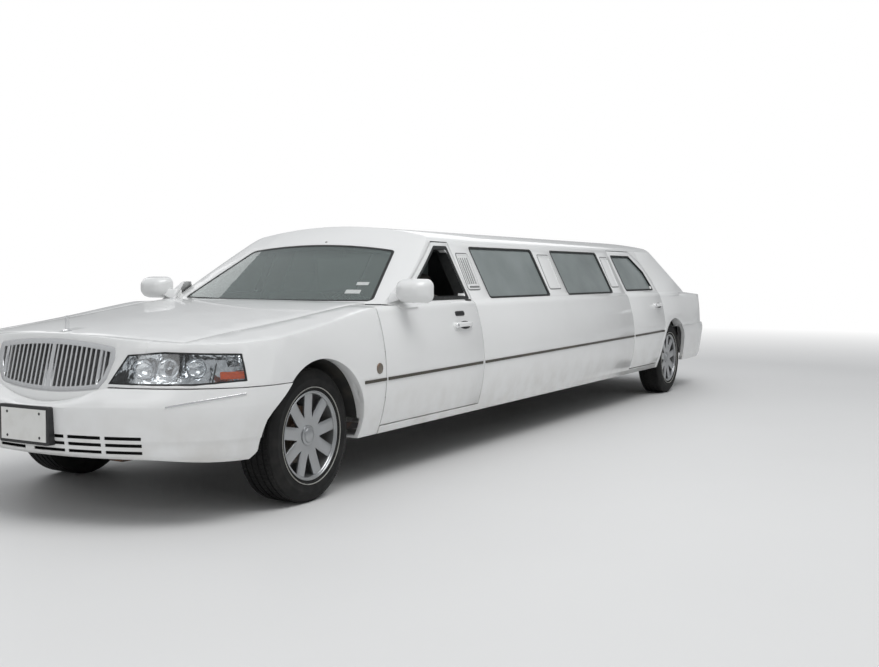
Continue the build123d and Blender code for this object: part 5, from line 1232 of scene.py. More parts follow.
def plan_points(row, middles, edge):
    """Reach and half width of points along half an outline, from the middle to the arch."""
    _, centre, front_y, front, corner_y, corner, side_half, side, back_y, back = row
    sag = centre - front
    radius = (front_y**2 + sag**2) / (2 * sag)
    points = [(centre - radius + math.sqrt(radius**2 - y**2), y) for y in middles]
    heading = math.atan2(math.cos(math.asin(front_y / radius)), -front_y / radius)
    swing = math.atan2(corner_y - front_y, corner - front) - heading
    turn_radius = math.hypot(corner_y - front_y, corner - front) / (2 * math.sin(swing))
    for step in range(1, CORNER_STEPS + 1):
        angle = heading + 2 * swing * step / CORNER_STEPS
        points.append((
            front + turn_radius * (math.sin(angle) - math.sin(heading)),
            front_y - turn_radius * (math.cos(angle) - math.cos(heading)),
        ))
    line = [(-corner, corner_y), (-side, side_half), (-back, back_y)]
    for step in range(1, FLANK_STEPS + 1):
        reach = corner + (edge - corner) * step / FLANK_STEPS
        points.append((reach, between(line, -reach)[1]))
    return points


def inner_lip(row, facing, shift):
    """Row of points inside another, for the lip along a cover's upper or lower edge."""
    inset = []
    for index, point in enumerate(row):
        along = (row[min(index + 1, len(row) - 1)] - row[max(index - 1, 0)]).normalized()
        inward = Vector(UP).cross(along) * facing
        inset.append(point + inward * LIP_WIDTH + Vector((0, 0, shift)))
    return inset


def in_slot(corners, slots):
    """Whether a face of the cover lies in an air slot."""
    middle_y = (abs(corners[0].co.y) + abs(corners[1].co.y)) / 2
    middle_z = (corners[0].co.z + corners[3].co.z) / 2
    return any(low < middle_z < high for low, high in slots) and any(low < middle_y < high for low, high in SLOT_SPANS)


def bumper_cover(levels, axle_x, facing, heights, middles, edge_at, top_at, low_at, slots):
    """Bumper skin laid through plan outlines, with slots, a lip below and returns at the arches."""
    bm = bmesh.new()
    rows = []
    for height in heights:
        row = []
        for u, v in plan_points(between(levels, height), middles, edge_at(height)):
            z = height
            if height > TOP_FROM:
                z = TOP_FROM + (height - TOP_FROM) * (top_at(v) - TOP_FROM) / (heights[-1] - TOP_FROM)
            elif height < CHIN_FROM:
                z = CHIN_FROM - (CHIN_FROM - height) * (CHIN_FROM - low_at(v)) / (CHIN_FROM - heights[0])
            row.append(Vector((axle_x + facing * u, v, z)))
        row.append(row[-1] + Vector((facing * 0.002, -ARCH_RETURN, 0)))
        rows.append(row)
    rows = [inner_lip(rows[0], facing, 0.006), *rows, inner_lip(rows[-1], facing, -0.002)]
    for side in (1, -1):
        grid = [[bm.verts.new((point.x, side * point.y, point.z)) for point in row] for row in rows]
        for first, second in zip(grid, grid[1:]):
            for index in range(len(first) - 1):
                corners = (first[index], first[index + 1], second[index + 1], second[index])
                if not in_slot(corners, slots):
                    bm.faces.new(corners)
    tidy(bm, 0.0004)
    face = max(bm.faces, key=lambda item: facing * item.calc_center_median().x)
    face.normal_update()
    if face.normal.x * facing < 0:
        bmesh.ops.reverse_faces(bm, faces=bm.faces)
    thicken(bm, COVER_WALL)
    return bm


def front_edge(z):
    """Distance from the front axle at which the cover meets the wheel opening."""
    ease = ARCH_EASE * smooth_share(-z, -EASE_HIGH, -EASE_LOW)
    return math.sqrt(FRONT_ARCH**2 - max(z - ARCH_Z, 0) ** 2) + ease + CUT_SLOPE * max(CUT_Z - z, 0)


def rear_edge(z):
    """Distance from the rear axle at which the cover meets the wheel opening."""
    return math.sqrt(REAR_ARCH**2 - max(z - ARCH_Z, 0) ** 2) + CUT_SLOPE * max(CUT_Z - z, 0)


def front_top(y):
    """Upper edge of the front cover, which dips under the grille."""
    smile = (SMILE_HALF**2 + SMILE_DROP**2) / (2 * SMILE_DROP)
    return min(SMILE_Z + smile - math.sqrt(smile**2 - min(y, SMILE_HALF) ** 2), FRONT_HEIGHTS[-1])


class LIMOUSINE_OT_bumper_covers(bpy.types.Operator):
    """Makes the bumper covers with their air slots and lips"""

    bl_idname = "limousine.bumper_covers"
    bl_label = "Bumper covers"

    def execute(self, context):
        covers = {
            "front_bumper": bumper_cover(
                FRONT_BUMPER, FRONT_AXLE, 1, FRONT_HEIGHTS, FRONT_MIDDLES, front_edge, front_top,
                lambda y: CHIN_Z - CHIN_RISE * smooth_share(y, 0.60, 0.92), SLOT_ROWS,
            ),
            "rear_bumper": bumper_cover(
                REAR_BUMPER, REAR_AXLE, -1, REAR_HEIGHTS, spread(0.0, 0.6, 9), rear_edge,
                lambda y: REAR_HEIGHTS[-1], lambda y: REAR_HEIGHTS[0], (),
            ),
        }
        for name, cover in covers.items():
            SKINS[name] = BVHTree.FromBMesh(cover)
            piece(f"{name}_cover", cover, "paint", "root", "paint", replaces=(name,))
        return {"FINISHED"}


# Dark sheets behind the grille and the air slots: cells, middle height, half width and half height
CORE_CELLS, CORE_Z, CORE_HALF_Y, CORE_HALF_Z = (24, 10), 0.742, 0.425, 0.140
SCREEN_CELLS, SCREEN_Z, SCREEN_HALF_Y, SCREEN_HALF_Z = (20, 2), 0.392, 0.625, 0.056
PLATE_Z, SCREW_Y, SCREW_Z = 0.470, 0.110, 0.057
SCREW_PROFILE = ((HUB, 0.0025), (0.005, 0.002), (0.007, 0.0), (HUB, 0.0))
ORNAMENT_FOOT = Vector((FRONT_AXLE + 0.785, 0, 0.9065))
ORNAMENT_PROFILE = ((HUB, 0.006), (0.012, 0.005), (0.019, 0.001), (0.021, -0.006), (HUB, -0.006))
ORNAMENT_LOW, ORNAMENT_HIGH = Vector((-0.015, -0.0036, 0)), Vector((0.007, 0.0036, 0.071))
BADGE_X, BADGE_Z = FRONT_AXLE - 0.525, 0.663
BADGE_PROFILE = (
    (HUB, 0.0035), (0.021, 0.0035), (0.022, 0.0060), (0.0285, 0.0060), (0.0305, 0.003), (0.0305, 0.0), (HUB, 0.0),
)


def dark_sheet(cells, middle_z, half_y, half_z, reach_at):
    """Sheet across the nose whose distance ahead of the axle comes from its place."""
    bm = bmesh.new()
    for vert in bmesh.ops.create_grid(bm, x_segments=cells[0], y_segments=cells[1], size=1.0)["verts"]:
        y, z = vert.co.x * half_y, middle_z + vert.co.y * half_z
        vert.co = (FRONT_AXLE + reach_at(y, z), y, z)
    thicken(bm, 0.004)
    return bm


def trim_z(y):
    """Height of the bright trims on the front bumper."""
    return 0.593 + (abs(y) - 0.8) * 0.21


class LIMOUSINE_OT_nose_details(bpy.types.Operator):
    """Makes the dark core behind the grille, bumper trims, plate, screws, the hood ornament and fender badges"""

    bl_idname = "limousine.nose_details"
    bl_label = "Nose details"

    def execute(self, context):
        core = dark_sheet(
            CORE_CELLS, CORE_Z, CORE_HALF_Y, CORE_HALF_Z,
            lambda y, z: 0.832 - (z - 0.74) * 0.22 - 0.02 * (y / 0.4) ** 2,
        )
        piece("radiator_core", core, "gasket", "root", "black_plastic")
        for side_name, side in SIDES:
            path = nose_path("front_bumper", [(side * y, trim_z(y)) for y in spread(0.700, 0.950, 14)])
            ribbon_piece(
                f"bumper_trim_{side_name}", [(path, 0.010, 0.0035)], UP, "chrome", "root", "chrome_trim", bevel=0.001
            )
        slots = dark_sheet(
            SCREEN_CELLS, SCREEN_Z, SCREEN_HALF_Y, SCREEN_HALF_Z,
            lambda y, z: 0.986 - 0.140 * (y / SCREEN_HALF_Y) ** 2,
        )
        piece("bumper_slot_screen", slots, "gasket", "root", "black_plastic")
        plate, screws, ornament = bmesh.new(), bmesh.new(), bmesh.new()
        plate_low, plate_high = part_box("front_plate")
        add_block(plate, plate_low, plate_high)
        piece("show_plate", plate, "plate", "root", "plate_white", replaces=("front_plate",), bevel=0.0009)
        for y in (-SCREW_Y, SCREW_Y):
            for z in (PLATE_Z - SCREW_Z, PLATE_Z + SCREW_Z):
                add_lathe(screws, SCREW_PROFILE, (plate_high.x, y, z), 1, 18, ALONG)
        tidy(screws)
        piece("plate_screws", screws, "black", "root", "black_plastic")
        add_lathe(ornament, ORNAMENT_PROFILE, ORNAMENT_FOOT, 1, 30, UP)
        bmesh.ops.scale(ornament, verts=ornament.verts, vec=(1.35, 0.8, 1), space=Matrix.Translation(-ORNAMENT_FOOT))
        add_block(ornament, ORNAMENT_FOOT + ORNAMENT_LOW, ORNAMENT_FOOT + ORNAMENT_HIGH)
        tidy(ornament)
        piece("hood_ornament", ornament, "chrome", "hood", "chrome_trim", bevel=0.0012)
        for side_name, side in SIDES:
            place = Vector((BADGE_X, side * (side_y(BADGE_Z) - 0.001), BADGE_Z))
            turned_piece(f"fender_badge_{side_name}", BADGE_PROFILE, place, side, 48, "pipe", "root", "chrome_trim")
        return {"FINISHED"}


# Borders of the screens: node, outward direction, width
SCREEN_BORDERS = {
    "windshield_border": ("windshield", (1, 0, 1.6), 0.020),
    "rear_border": ("rear_window", (-1, 0, 1.4), 0.022),
}
BORDER_LIFT, BORDER_THICKNESS = 0.0012, 0.0010
# Stickers low on the windshield: Y, Z, width, height
STICKERS = ((0.572, 1.126, 0.074, 0.036), (0.560, 1.078, 0.092, 0.044))
CABIN_MIRROR_SIZE, CABIN_MIRROR_PLACE = (0.028, 0.250, 0.062), (1.775, 0.02, 1.315)
MIRROR_STEM_FOOT, MIRROR_STEM_LEAN = (1.790, 0.02, 1.325), (0.35, 0, 1)
BRAKE_LAMP_LOW, BRAKE_LAMP_HIGH = (REAR_AXLE - 0.470, -0.150, 1.079), (REAR_AXLE - 0.430, 0.150, 1.103)


class LIMOUSINE_OT_screens(bpy.types.Operator):
    """Adds black borders to the windshield and rear window"""

    bl_idname = "limousine.screens"
    bl_label = "Screens"

    def execute(self, context):
        for name, (node, outward, width) in SCREEN_BORDERS.items():
            bm = merged_copy(node)
            facing = Vector(outward).normalized()
            keep_faces(bm, lambda face: face.normal.dot(facing) >= 0.6)
            bmesh.ops.dissolve_limit(bm, angle_limit=math.radians(0.6), verts=bm.verts, edges=bm.edges)
            keep_band(bm, width)
            bmesh.ops.triangulate(bm, faces=bm.faces)
            bmesh.ops.translate(bm, verts=bm.verts, vec=facing * BORDER_LIFT)
            thicken(bm, BORDER_THICKNESS)
            tidy(bm)
            piece(name, bm, "gasket", "root", "black_plastic")
        return {"FINISHED"}


class LIMOUSINE_OT_screen_extras(bpy.types.Operator):
    """Adds pale stickers low on the windshield, the cabin mirror and the high brake lamp"""

    bl_idname = "limousine.screen_extras"
    bl_label = "Screen extras"

    def execute(self, context):
        ribbons = []
        for y, z, width, height in STICKERS:
            places = spread(-width / 2, width / 2, 4)
            path = [on_skin("windshield", (FRONT_AXLE, y + offset, z), (-1, 0, 0)) for offset in places]
            ribbons.append((path, height, 0.0008))
        ribbon_piece("screen_stickers", ribbons, UP, "sticker", "root", "plate_white")
        mirror = bmesh.new()
        block = bmesh.ops.create_cube(mirror, size=1.0)["verts"]
        bmesh.ops.scale(mirror, verts=block, vec=CABIN_MIRROR_SIZE)
        bmesh.ops.rotate(mirror, verts=block, cent=(0, 0, 0), matrix=Matrix.Rotation(math.radians(12), 3, "Y"))
        bmesh.ops.translate(mirror, verts=block, vec=CABIN_MIRROR_PLACE)
        add_lathe(mirror, [(0.007, 0.0), (0.007, 0.075)], MIRROR_STEM_FOOT, 1, 12, MIRROR_STEM_LEAN)
        tidy(mirror)
        piece("cabin_mirror", mirror, "black", "root", "black_plastic", bevel=0.008)
        brake = bmesh.new()
        add_block(brake, BRAKE_LAMP_LOW, BRAKE_LAMP_HIGH)
        piece("high_brake_lamp", brake, "red", "root", "lamp_red", bevel=0.004)
        return {"FINISHED"}


MIRROR_CENTRE = Vector((FRONT_AXLE - 0.928, 1.004, 1.088))
MIRROR_STEPS = (
    # distance ahead of the rear edge, half width, half height, corner radius
    (0.000, 0.106, 0.069, 0.044), (0.010, 0.108, 0.071, 0.046), (0.050, 0.106, 0.069, 0.046),
    (0.085, 0.098, 0.062, 0.044), (0.110, 0.082, 0.049, 0.038), (0.124, 0.058, 0.032, 0.026),
    (0.130, 0.030, 0.015, 0.012),
)
MIRROR_SAIL = (
    (FRONT_AXLE - 0.822, 0.984), (FRONT_AXLE - 0.975, 1.128), (FRONT_AXLE - 1.020, 1.128),
    (FRONT_AXLE - 1.085, 1.030), (FRONT_AXLE - 1.050, 0.990),
)
# Section of the arm at the door, as X behind the front axle and Z, and the half widths at its ends
ARM_SECTION = ((-0.850, 1.004), (-0.945, 1.004), (-0.945, 1.078), (-0.890, 1.078))
ARM_INNER_Y, ARM_OUTER_Y = 0.832, 0.935
MIRROR_FACES = (
    # name, half width, half height, corner radius, X from and to, finish, slot
    ("mirror_edge", 0.101, 0.064, 0.040, 0.0010, 0.007, "black", "black_plastic"),
    ("mirror_pane", 0.095, 0.058, 0.035, -0.0010, 0.003, "mirror", "chrome_trim"),
)
RING_STEPS = 6
BELT_STRIP = upright(FRONT_AXLE - 0.925, FRONT_AXLE - 1.790, 1.012, 1.021)


def rounded_ring(bm, half_width, half_height, radius):
    """Upright ring of edges facing along X with rounded corners."""
    verts = []
    for corner, (sign_y, sign_z) in enumerate(((1, 1), (-1, 1), (-1, -1), (1, -1))):
        for step in range(RING_STEPS + 1):
            angle = math.radians(90 * corner + 90 * step / RING_STEPS)
            y = sign_y * (half_width - radius) + radius * math.cos(angle)
            z = sign_z * (half_height - radius) + radius * math.sin(angle)
            verts.append(bm.verts.new((0, y, z)))
    return [bm.edges.new((verts[index - 1], verts[index])) for index in range(len(verts))]


def mirror_head(centre):
    """Hollow rounded shell of a door mirror, laid through rings."""
    bm = bmesh.new()
    before = None
    for along, half_width, half_height, radius in MIRROR_STEPS:
        ring = rounded_ring(bm, half_width, half_height, radius)
        points = {vert for edge in ring for vert in edge.verts}
        bmesh.ops.translate(bm, verts=list(points), vec=centre + Vector((along, 0, 0)))
        if before:
            bmesh.ops.bridge_loops(bm, edges=before + ring)
        before = ring
    bmesh.ops.contextual_create(bm, geom=before)
    tidy(bm)
    thicken(bm, 0.0025)
    return bm


def mirror_arm(side):
    """Arm from the door to the mirror, which narrows outwards."""
    arm = bmesh.new()
    inner, outer = [], []
    for x, z in ARM_SECTION:
        inner.append(arm.verts.new((FRONT_AXLE + x, side * ARM_INNER_Y, z)))
        outer.append(arm.verts.new((FRONT_AXLE + 0.75 * x - 0.215, side * ARM_OUTER_Y, 0.5 * z + 0.540)))
    arm.faces.new(inner)
    arm.faces.new(outer)
    for index in range(4):
        arm.faces.new((inner[index - 1], inner[index], outer[index], outer[index - 1]))
    bmesh.ops.bevel(arm, geom=list(arm.edges), offset=0.010, affect="EDGES", segments=3, profile=0.5, material=-1)
    tidy(arm)
    return arm


class LIMOUSINE_OT_door_mirrors(bpy.types.Operator):
    """Makes the door mirrors with their arms, sails and glass, and the belt strips below the door glass"""

    bl_idname = "limousine.door_mirrors"
    bl_label = "Door mirrors"

    def execute(self, context):
        for side_name, side in SIDES:
            body = f"door_front_{side_name}"
            centre = Vector((MIRROR_CENTRE.x, side * MIRROR_CENTRE.y, MIRROR_CENTRE.z))
            bm = mirror_head(centre)
            add_mesh(bm, mirror_arm(side))
            add_mesh(bm, side_form(MIRROR_SAIL, 0.014, 0, 0.012, 0.010, side, [body, "cowl", "roof_shell"]))
            piece(
                f"mirror_shell_{side_name}", bm, "paint", body, "paint", replaces=(f"mirror_{side_name}",), bevel=0.002
            )
            for name, half_width, half_height, radius, x_low, x_high, finish, slot in MIRROR_FACES:
                bm = bmesh.new()
                rounded_ring(bm, half_width, half_height, radius)
                bmesh.ops.contextual_create(bm, geom=list(bm.edges))
                bmesh.ops.translate(bm, verts=extrude_all(bm), vec=(x_high - x_low, 0, 0))
                bmesh.ops.translate(bm, verts=bm.verts, vec=centre + Vector((x_low, 0, 0)))
                tidy(bm)
                piece(f"{name}_{side_name}", bm, finish, body, slot, bevel=0.001)
            strip = side_form(BELT_STRIP, 0.003, 0, 0.004, 0.006, side, [body])
            piece(f"belt_strip_{side_name}", strip, "gasket", body, "black_plastic", bevel=0.001)
        return {"FINISHED"}


# Foot of the windshield and its radius in plan; blades from and to, with their pivots; heights
WINDSHIELD_FOOT, PLAN_RADIUS = FRONT_AXLE - 0.708, 2.10
WIPERS = ((-0.630, -0.075, -0.560), (-0.015, 0.540, 0.045))
BLADE_Z, HOLDER_Z, ARM_Z, PIVOT_Z = 1.0080, 1.0130, 1.0175, 1.0045
BLADE_AHEAD, ARM_AHEAD = 0.048, 0.062
PIVOT_PROFILE = ((HUB, 0.020), (0.009, 0.019), (0.012, 0.014), (0.013, 0.0), (HUB, 0.0))


def foot_x(y, ahead):
    """Place ahead of the windshield's foot at a half width."""
    middle = WINDSHIELD_FOOT + ahead - (PLAN_RADIUS - math.sqrt(PLAN_RADIUS**2 - y**2))
    return min(middle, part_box("wipers")[1].x)


class LIMOUSINE_OT_wipers(bpy.types.Operator):
    """Makes the wiper blades, arms and pivots on the cowl"""

    bl_idname = "limousine.wipers"
    bl_label = "Wipers"

    def execute(self, context):
        bm = bmesh.new()
        up = Vector(UP)
        for low, high, pivot in WIPERS:
            feet = [(foot_x(y, BLADE_AHEAD), y) for y in spread(low, high, 14)]
            add_ribbon(bm, [(Vector((x, y, BLADE_Z)), up) for x, y in feet], ALONG, 0.006, 0.0060)
            add_ribbon(bm, [(Vector((x + 0.003, y, HOLDER_Z)), up) for x, y in feet], ALONG, 0.012, 0.0035)
            arm = []
            for step in range(9):
                y = pivot + ((low + high) / 2 - pivot) * step / 8
                lift = 0.004 * math.sin(math.pi * step / 8)
                arm.append((Vector((foot_x(y, ARM_AHEAD) - 0.010 * step / 8, y, ARM_Z + lift)), up))
            add_ribbon(bm, arm, ALONG, 0.011, 0.004)
            add_lathe(bm, PIVOT_PROFILE, (foot_x(pivot, ARM_AHEAD), pivot, PIVOT_Z), 1, 20, UP)
        tidy(bm)
        piece("wiper_set", bm, "black", "root", "black_plastic", replaces=("wipers",), bevel=0.0008)
        return {"FINISHED"}


class LIMOUSINE_OT_tail_lamps(bpy.types.Operator):
    """Makes the red tail lamps with pale reversing lamps and chrome bars"""

    bl_idname = "limousine.tail_lamps"
    bl_label = "Tail lamps"

    def execute(self, context):
        low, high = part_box("taillamps")
        middle = (low.z + high.z) / 2
        for side_name, side in SIDES:
            lens = merged_half("taillamps", side)
            piece(f"tail_lamp_{side_name}", lens, "red", "root", "lamp_red", replaces=("taillamps",), bevel=0.001)
            path = tail_path("taillamps", [(side * y, middle) for y in spread(0.680, 0.745, 5)])
            ribbon_piece(
                f"reverse_lamp_{side_name}", [(path, 0.120, 0.0025)], UP, "sticker", "root", "lamp_clear",
                bevel=0.0012,
            )
            bars = []
            for z in (low.z + 0.060, middle, high.z - 0.060):
                path = tail_path("taillamps", [(side * y, z) for y in spread(0.760, 0.885, 8)])
                bars.append((path, 0.004, 0.0015))
            ribbon_piece(f"tail_lamp_bars_{side_name}", bars, UP, "chrome", "root", "chrome_trim")
        return {"FINISHED"}


# Rear plate in its recess, strip and lock on the lid, moulding on the bumper, ends of the exhausts
RECESS_X = REAR_AXLE - 1.379
REAR_PLATE_LOW, REAR_PLATE_HIGH = (RECESS_X - 0.004, -0.1525, 0.730), (RECESS_X - 0.0006, 0.1525, 0.882)
LID_STRIP_Z, LID_STRIP_HALF = 0.915, 0.420
LID_LOCK_Z, LID_LOCK_PROFILE = 0.945, ((HUB, 0.005), (0.012, 0.005), (0.015, 0.0), (HUB, 0.0))
BUMPER_MOULDING_Z, BUMPER_MOULDING_HALF = 0.560, 0.900
TIP_X, TIP_Y, TIP_Z = REAR_AXLE - 1.340, 0.260, 0.260
TIP_PROFILE = ((0.0272, 0.0), (0.0325, 0.0), (0.0325, 0.085), (0.0300, 0.088), (0.0275, 0.085), (0.0272, 0.0))


class LIMOUSINE_OT_tail_details(bpy.types.Operator):
    """Makes the blank rear plate, the chrome strip over it, the lock, the bumper moulding and exhaust tips"""

    bl_idname = "limousine.tail_details"
    bl_label = "Tail details"

    def execute(self, context):
        plate = bmesh.new()
        add_block(plate, REAR_PLATE_LOW, REAR_PLATE_HIGH)
        piece("rear_plate", plate, "plate", "trunk_lid", "plate_white", bevel=0.0009)
        path = tail_path("trunk_lid", [(y, LID_STRIP_Z) for y in spread(-LID_STRIP_HALF, LID_STRIP_HALF, 25)])
        ribbon_piece("lid_strip", [(path, 0.022, 0.006)], UP, "chrome", "trunk_lid", "chrome_trim", bevel=0.002)
        hit, normal = tail_path("trunk_lid", [(0, LID_LOCK_Z)])[0]
        turned_piece("lid_lock", LID_LOCK_PROFILE, hit, 1, 24, "chrome", "trunk_lid", "chrome_trim", normal)
        places = [(y, BUMPER_MOULDING_Z) for y in spread(-BUMPER_MOULDING_HALF, BUMPER_MOULDING_HALF, 41)]
        ribbon_piece(
            "rear_bumper_moulding", [(tail_path("rear_bumper", places), 0.016, 0.005)], UP, "bronze", "root",
            "chrome_trim", bevel=0.0015,
        )
        tips = bmesh.new()
        for _, side in SIDES:
            add_lathe(tips, TIP_PROFILE, (TIP_X, side * TIP_Y, TIP_Z), 1, 36, (-1, 0, 0))
        tidy(tips)
        piece("exhaust_tips", tips, "chrome", "root", "exhaust_steel", bevel=0.0006)
        return {"FINISHED"}


# ------------------------------------------------------------------- cabin

SEAT_FLOOR = 0.3495


def soft_block(size, matrix, radius, channels, crown, cuts):
    """Padded block with sewn channels across its width; its face looks along local +Z."""
    part = bmesh.new()
    bmesh.ops.create_cube(part, size=1.0)
    bmesh.ops.subdivide_edges(part, edges=list(part.edges), cuts=cuts, use_grid_fill=True)
    core = Vector([max(value / 2 - radius, 0.001) for value in size])
    for vert in part.verts:
        u, v = vert.co.x * 2, vert.co.y * 2
        place = Vector([vert.co[axis] * size[axis] for axis in range(3)])
        near = Vector([max(-core[axis], min(core[axis], place[axis])) for axis in range(3)])
        offset = place - near
        if offset.length > 1e-6:
            offset = offset.normalized() * radius
        new = near + offset
        if vert.co.z > 0.3:
            new.z += crown * (1 - u**2) * (1 - v**4)
            if channels:
                wave = abs(math.sin(math.pi * (v + 1) / 2 * channels))
                new.z -= crown * 0.55 * (1 - wave) ** 2 * (1 - u**6)
        vert.co = new
    bmesh.ops.transform(part, verts=part.verts, matrix=matrix)
    bmesh.ops.recalc_face_normals(part, faces=part.faces)
    return part


def padding(name, size, place, lean, turn, radius, channels, crown, replaces=(), cuts=15):
    """Leather cushion or back at a place, leaned by an angle in degrees and turned about the upright."""
    upright_turn = Matrix.Rotation(turn, 4, "Z")
    matrix = Matrix.Translation(place) @ upright_turn @ Matrix.Rotation(math.radians(lean), 4, "Y")
    bm = soft_block(size, matrix, radius, channels, crown, cuts)
    piece(name, bm, "leather", "root", "seat_leather", replaces=replaces, subdivide=1)


def seat_base(name, blocks, rods=()):
    """Plain base of a seat, with the rods of its head rest where it has one."""
    bm = bmesh.new()
    for low, high in blocks:
        add_block(bm, low, high)
    for foot in rods:
        add_lathe(bm, [(0.007, 0.0), (0.007, 0.090)], foot, 1, 12, (-0.27, 0, 1))
    if rods:
        tidy(bm)
    piece(name, bm, "cabin", "root", "interior_plastic", bevel=0.003)


class LIMOUSINE_OT_seats(bpy.types.Operator):
    """Makes the padded leather seats of the front and the lounge"""

    bl_idname = "limousine.seats"
    bl_label = "Seats"

    def execute(self, context):
        crown = context.scene.limousine_cabin.cushion_crown
        for number, y in enumerate((0.470, -0.470), 1):
            padding(
                f"front_cushion_{number}", (0.500, 0.520, 0.150), (1.815, y, 0.440), 3, 0, 0.045, 4, crown,
                ("front_seats",),
            )
            padding(f"front_back_{number}", (0.560, 0.500, 0.130), (1.555, y, 0.775), 74, 0, 0.050, 4, crown)
            padding(
                f"head_rest_{number}", (0.130, 0.260, 0.090), (1.445, y, 1.120), 74, 0, 0.040, 0, crown * 0.4,
                cuts=9,
            )
            seat_base(
                f"seat_base_{number}", [((1.600, y - 0.230, SEAT_FLOOR), (2.020, y + 0.230, 0.375))],
                [(1.462, y + offset, 1.020) for offset in (-0.060, 0.060)],
            )
        for number, y in enumerate((0.425, 0.0, -0.425), 1):
            replaced = ("lounge_seats",) if number == 1 else ()
            padding(
                f"lounge_cushion_{number}", (0.540, 0.424, 0.160), (-1.985, y, 0.450), 3, 0, 0.045, 3, crown, replaced
            )
            padding(f"lounge_back_{number}", (0.560, 0.424, 0.130), (-2.260, y, 0.790), 74, 0, 0.050, 3, crown)
        seat_base(
            "lounge_base", [((-2.240, y, SEAT_FLOOR), (-1.745, y + 0.420, 0.385)) for y in (-0.620, 0.200)]
        )
        for number, x in enumerate(spread(-0.887, 0.613, 4), 1):
            replaced = ("side_bench",) if number == 1 else ()
            padding(
                f"bench_cushion_{number}", (0.440, 0.498, 0.150), (x, -0.550, 0.440), 0, math.pi / 2, 0.045, 3, crown,
                replaced,
            )
            padding(
                f"bench_back_{number}", (0.420, 0.498, 0.110), (x, -0.720, 0.720), 82, math.pi / 2, 0.045, 3, crown
            )
        seat_base("bench_base", [((-1.130, -0.760, SEAT_FLOOR), (0.855, -0.350, 0.380))])
        return {"FINISHED"}


STEERING_CENTRE = Vector((2.601 - 0.560, 0.400, 0.900))
STEERING_AXIS = Vector((-math.cos(math.radians(28)), 0, math.sin(math.radians(28))))
STEERING_RADIUS, STEERING_GRIP = 0.188, 0.0135
STEERING_BOSS = (
    (HUB, 0.020), (0.040, 0.018), (0.058, 0.010), (0.062, -0.004), (0.050, -0.018), (0.028, -0.020),
    (0.026, -0.140), (HUB, -0.140),
)
# Stations of a steering spoke: distance from the axis, and along it
STEERING_SPOKE = ((0.045, 0.0), (0.100, -0.006), (0.185, -0.004))
HOOD_Y, HOOD_Z, HOOD_HALF, HOOD_RISE = 0.400, 0.936, 0.190, 0.052
VENT_Y = (-0.640, -0.300, 0.120, 0.660)
VENT_X, VENT_LOW, VENT_HIGH, VENT_HALF = 2.172, 0.832, 0.888, 0.060
WOOD_STRIPS = ((-0.740, 0.190), (0.610, 0.740))


def steering_wheel():
    """Rim, boss and three spokes of the steering wheel."""
    wheel = bmesh.new()
    angles = [step * math.tau / 12 for step in range(13)]
    rim = [(STEERING_RADIUS + STEERING_GRIP * math.cos(angle), STEERING_GRIP * math.sin(angle)) for angle in angles]
    add_lathe(wheel, rim, STEERING_CENTRE, 1, 64, STEERING_AXIS)
    add_lathe(wheel, STEERING_BOSS, STEERING_CENTRE, 1, 40, STEERING_AXIS)
    up = STEERING_AXIS.cross(Vector(ACROSS)).normalized()
    for direction in (Vector((0, 1, 0)), Vector((0, -1, 0)), -up):
        path = [
            (STEERING_CENTRE + direction * reach + STEERING_AXIS * dip, STEERING_AXIS) for reach, dip in STEERING_SPOKE
        ]
        add_ribbon(wheel, path, direction.cross(STEERING_AXIS), 0.030, 0.010)
    tidy(wheel)
    return wheel


def instrument_hood():
    """Arched hood over the instruments."""
    hood = bmesh.new()
    rows = []
    for step in range(13):
        turn = math.pi * step / 12
        y = HOOD_Y + HOOD_HALF * math.cos(turn)
        z = HOOD_Z + HOOD_RISE * math.sin(turn) ** 0.5
        places = ((2.300, y, z - 0.006), (2.290, y, z), (2.440, y, max(z - 0.030, 0.928)))
        rows.append([hood.verts.new(place) for place in places])
    for first, second in zip(rows, rows[1:]):
        for index in range(2):
            hood.faces.new((first[index], first[index + 1], second[index + 1], second[index]))
    bmesh.ops.recalc_face_normals(hood, faces=hood.faces)
    thicken(hood, 0.006)
    tidy(hood)
    return hood


class LIMOUSINE_OT_controls(bpy.types.Operator):
    """Makes the steering wheel, instrument hood, vents and wood strip"""

    bl_idname = "limousine.controls"
    bl_label = "Controls"

    def execute(self, context):
        piece(
            "steering_rim", steering_wheel(), "black", "root", "interior_plastic", replaces=("steering_wheel",),
            bevel=0.0015,
        )
        piece("instrument_hood", instrument_hood(), "cabin", "root", "interior_plastic")
        vents, wood = bmesh.new(), bmesh.new()
        for y in VENT_Y:
            add_block(vents, (VENT_X, y - VENT_HALF, VENT_LOW), (VENT_X + 0.010, y + VENT_HALF, VENT_HIGH))
            for slat in range(5):
                z = 0.839 + slat * 0.0105
                add_block(vents, (VENT_X - 0.004, y - 0.055, z), (VENT_X + 0.004, y + 0.055, z + 0.0035))
        piece("dash_vents", vents, "black", "root", "interior_plastic")
        for y_low, y_high in WOOD_STRIPS:
            add_block(wood, (2.168, y_low, 0.790), (2.186, y_high, 0.822))
        piece("dash_wood", wood, "wood", "root", "interior_plastic", bevel=0.003)
        return {"FINISHED"}


# ------------------------------------------------------------------- stage

CAMERA_PLACE = Vector((FRONT_AXLE + 4.542, 4.206, 1.202))
CAMERA_YAW, CAMERA_PITCH, CAMERA_ROLL = math.radians(29.2), math.radians(3.28), math.radians(0.25)
SENSOR_WIDTH = 36.0
CLIP_NEAR, CLIP_FAR = 0.05, 200.0
FLOOR_SIZE, FLOOR_Z = 60.0, -0.0005
# Distances from the middle between which the floor turns white for the camera
FLOOR_FADE = (7.0, 16.0)
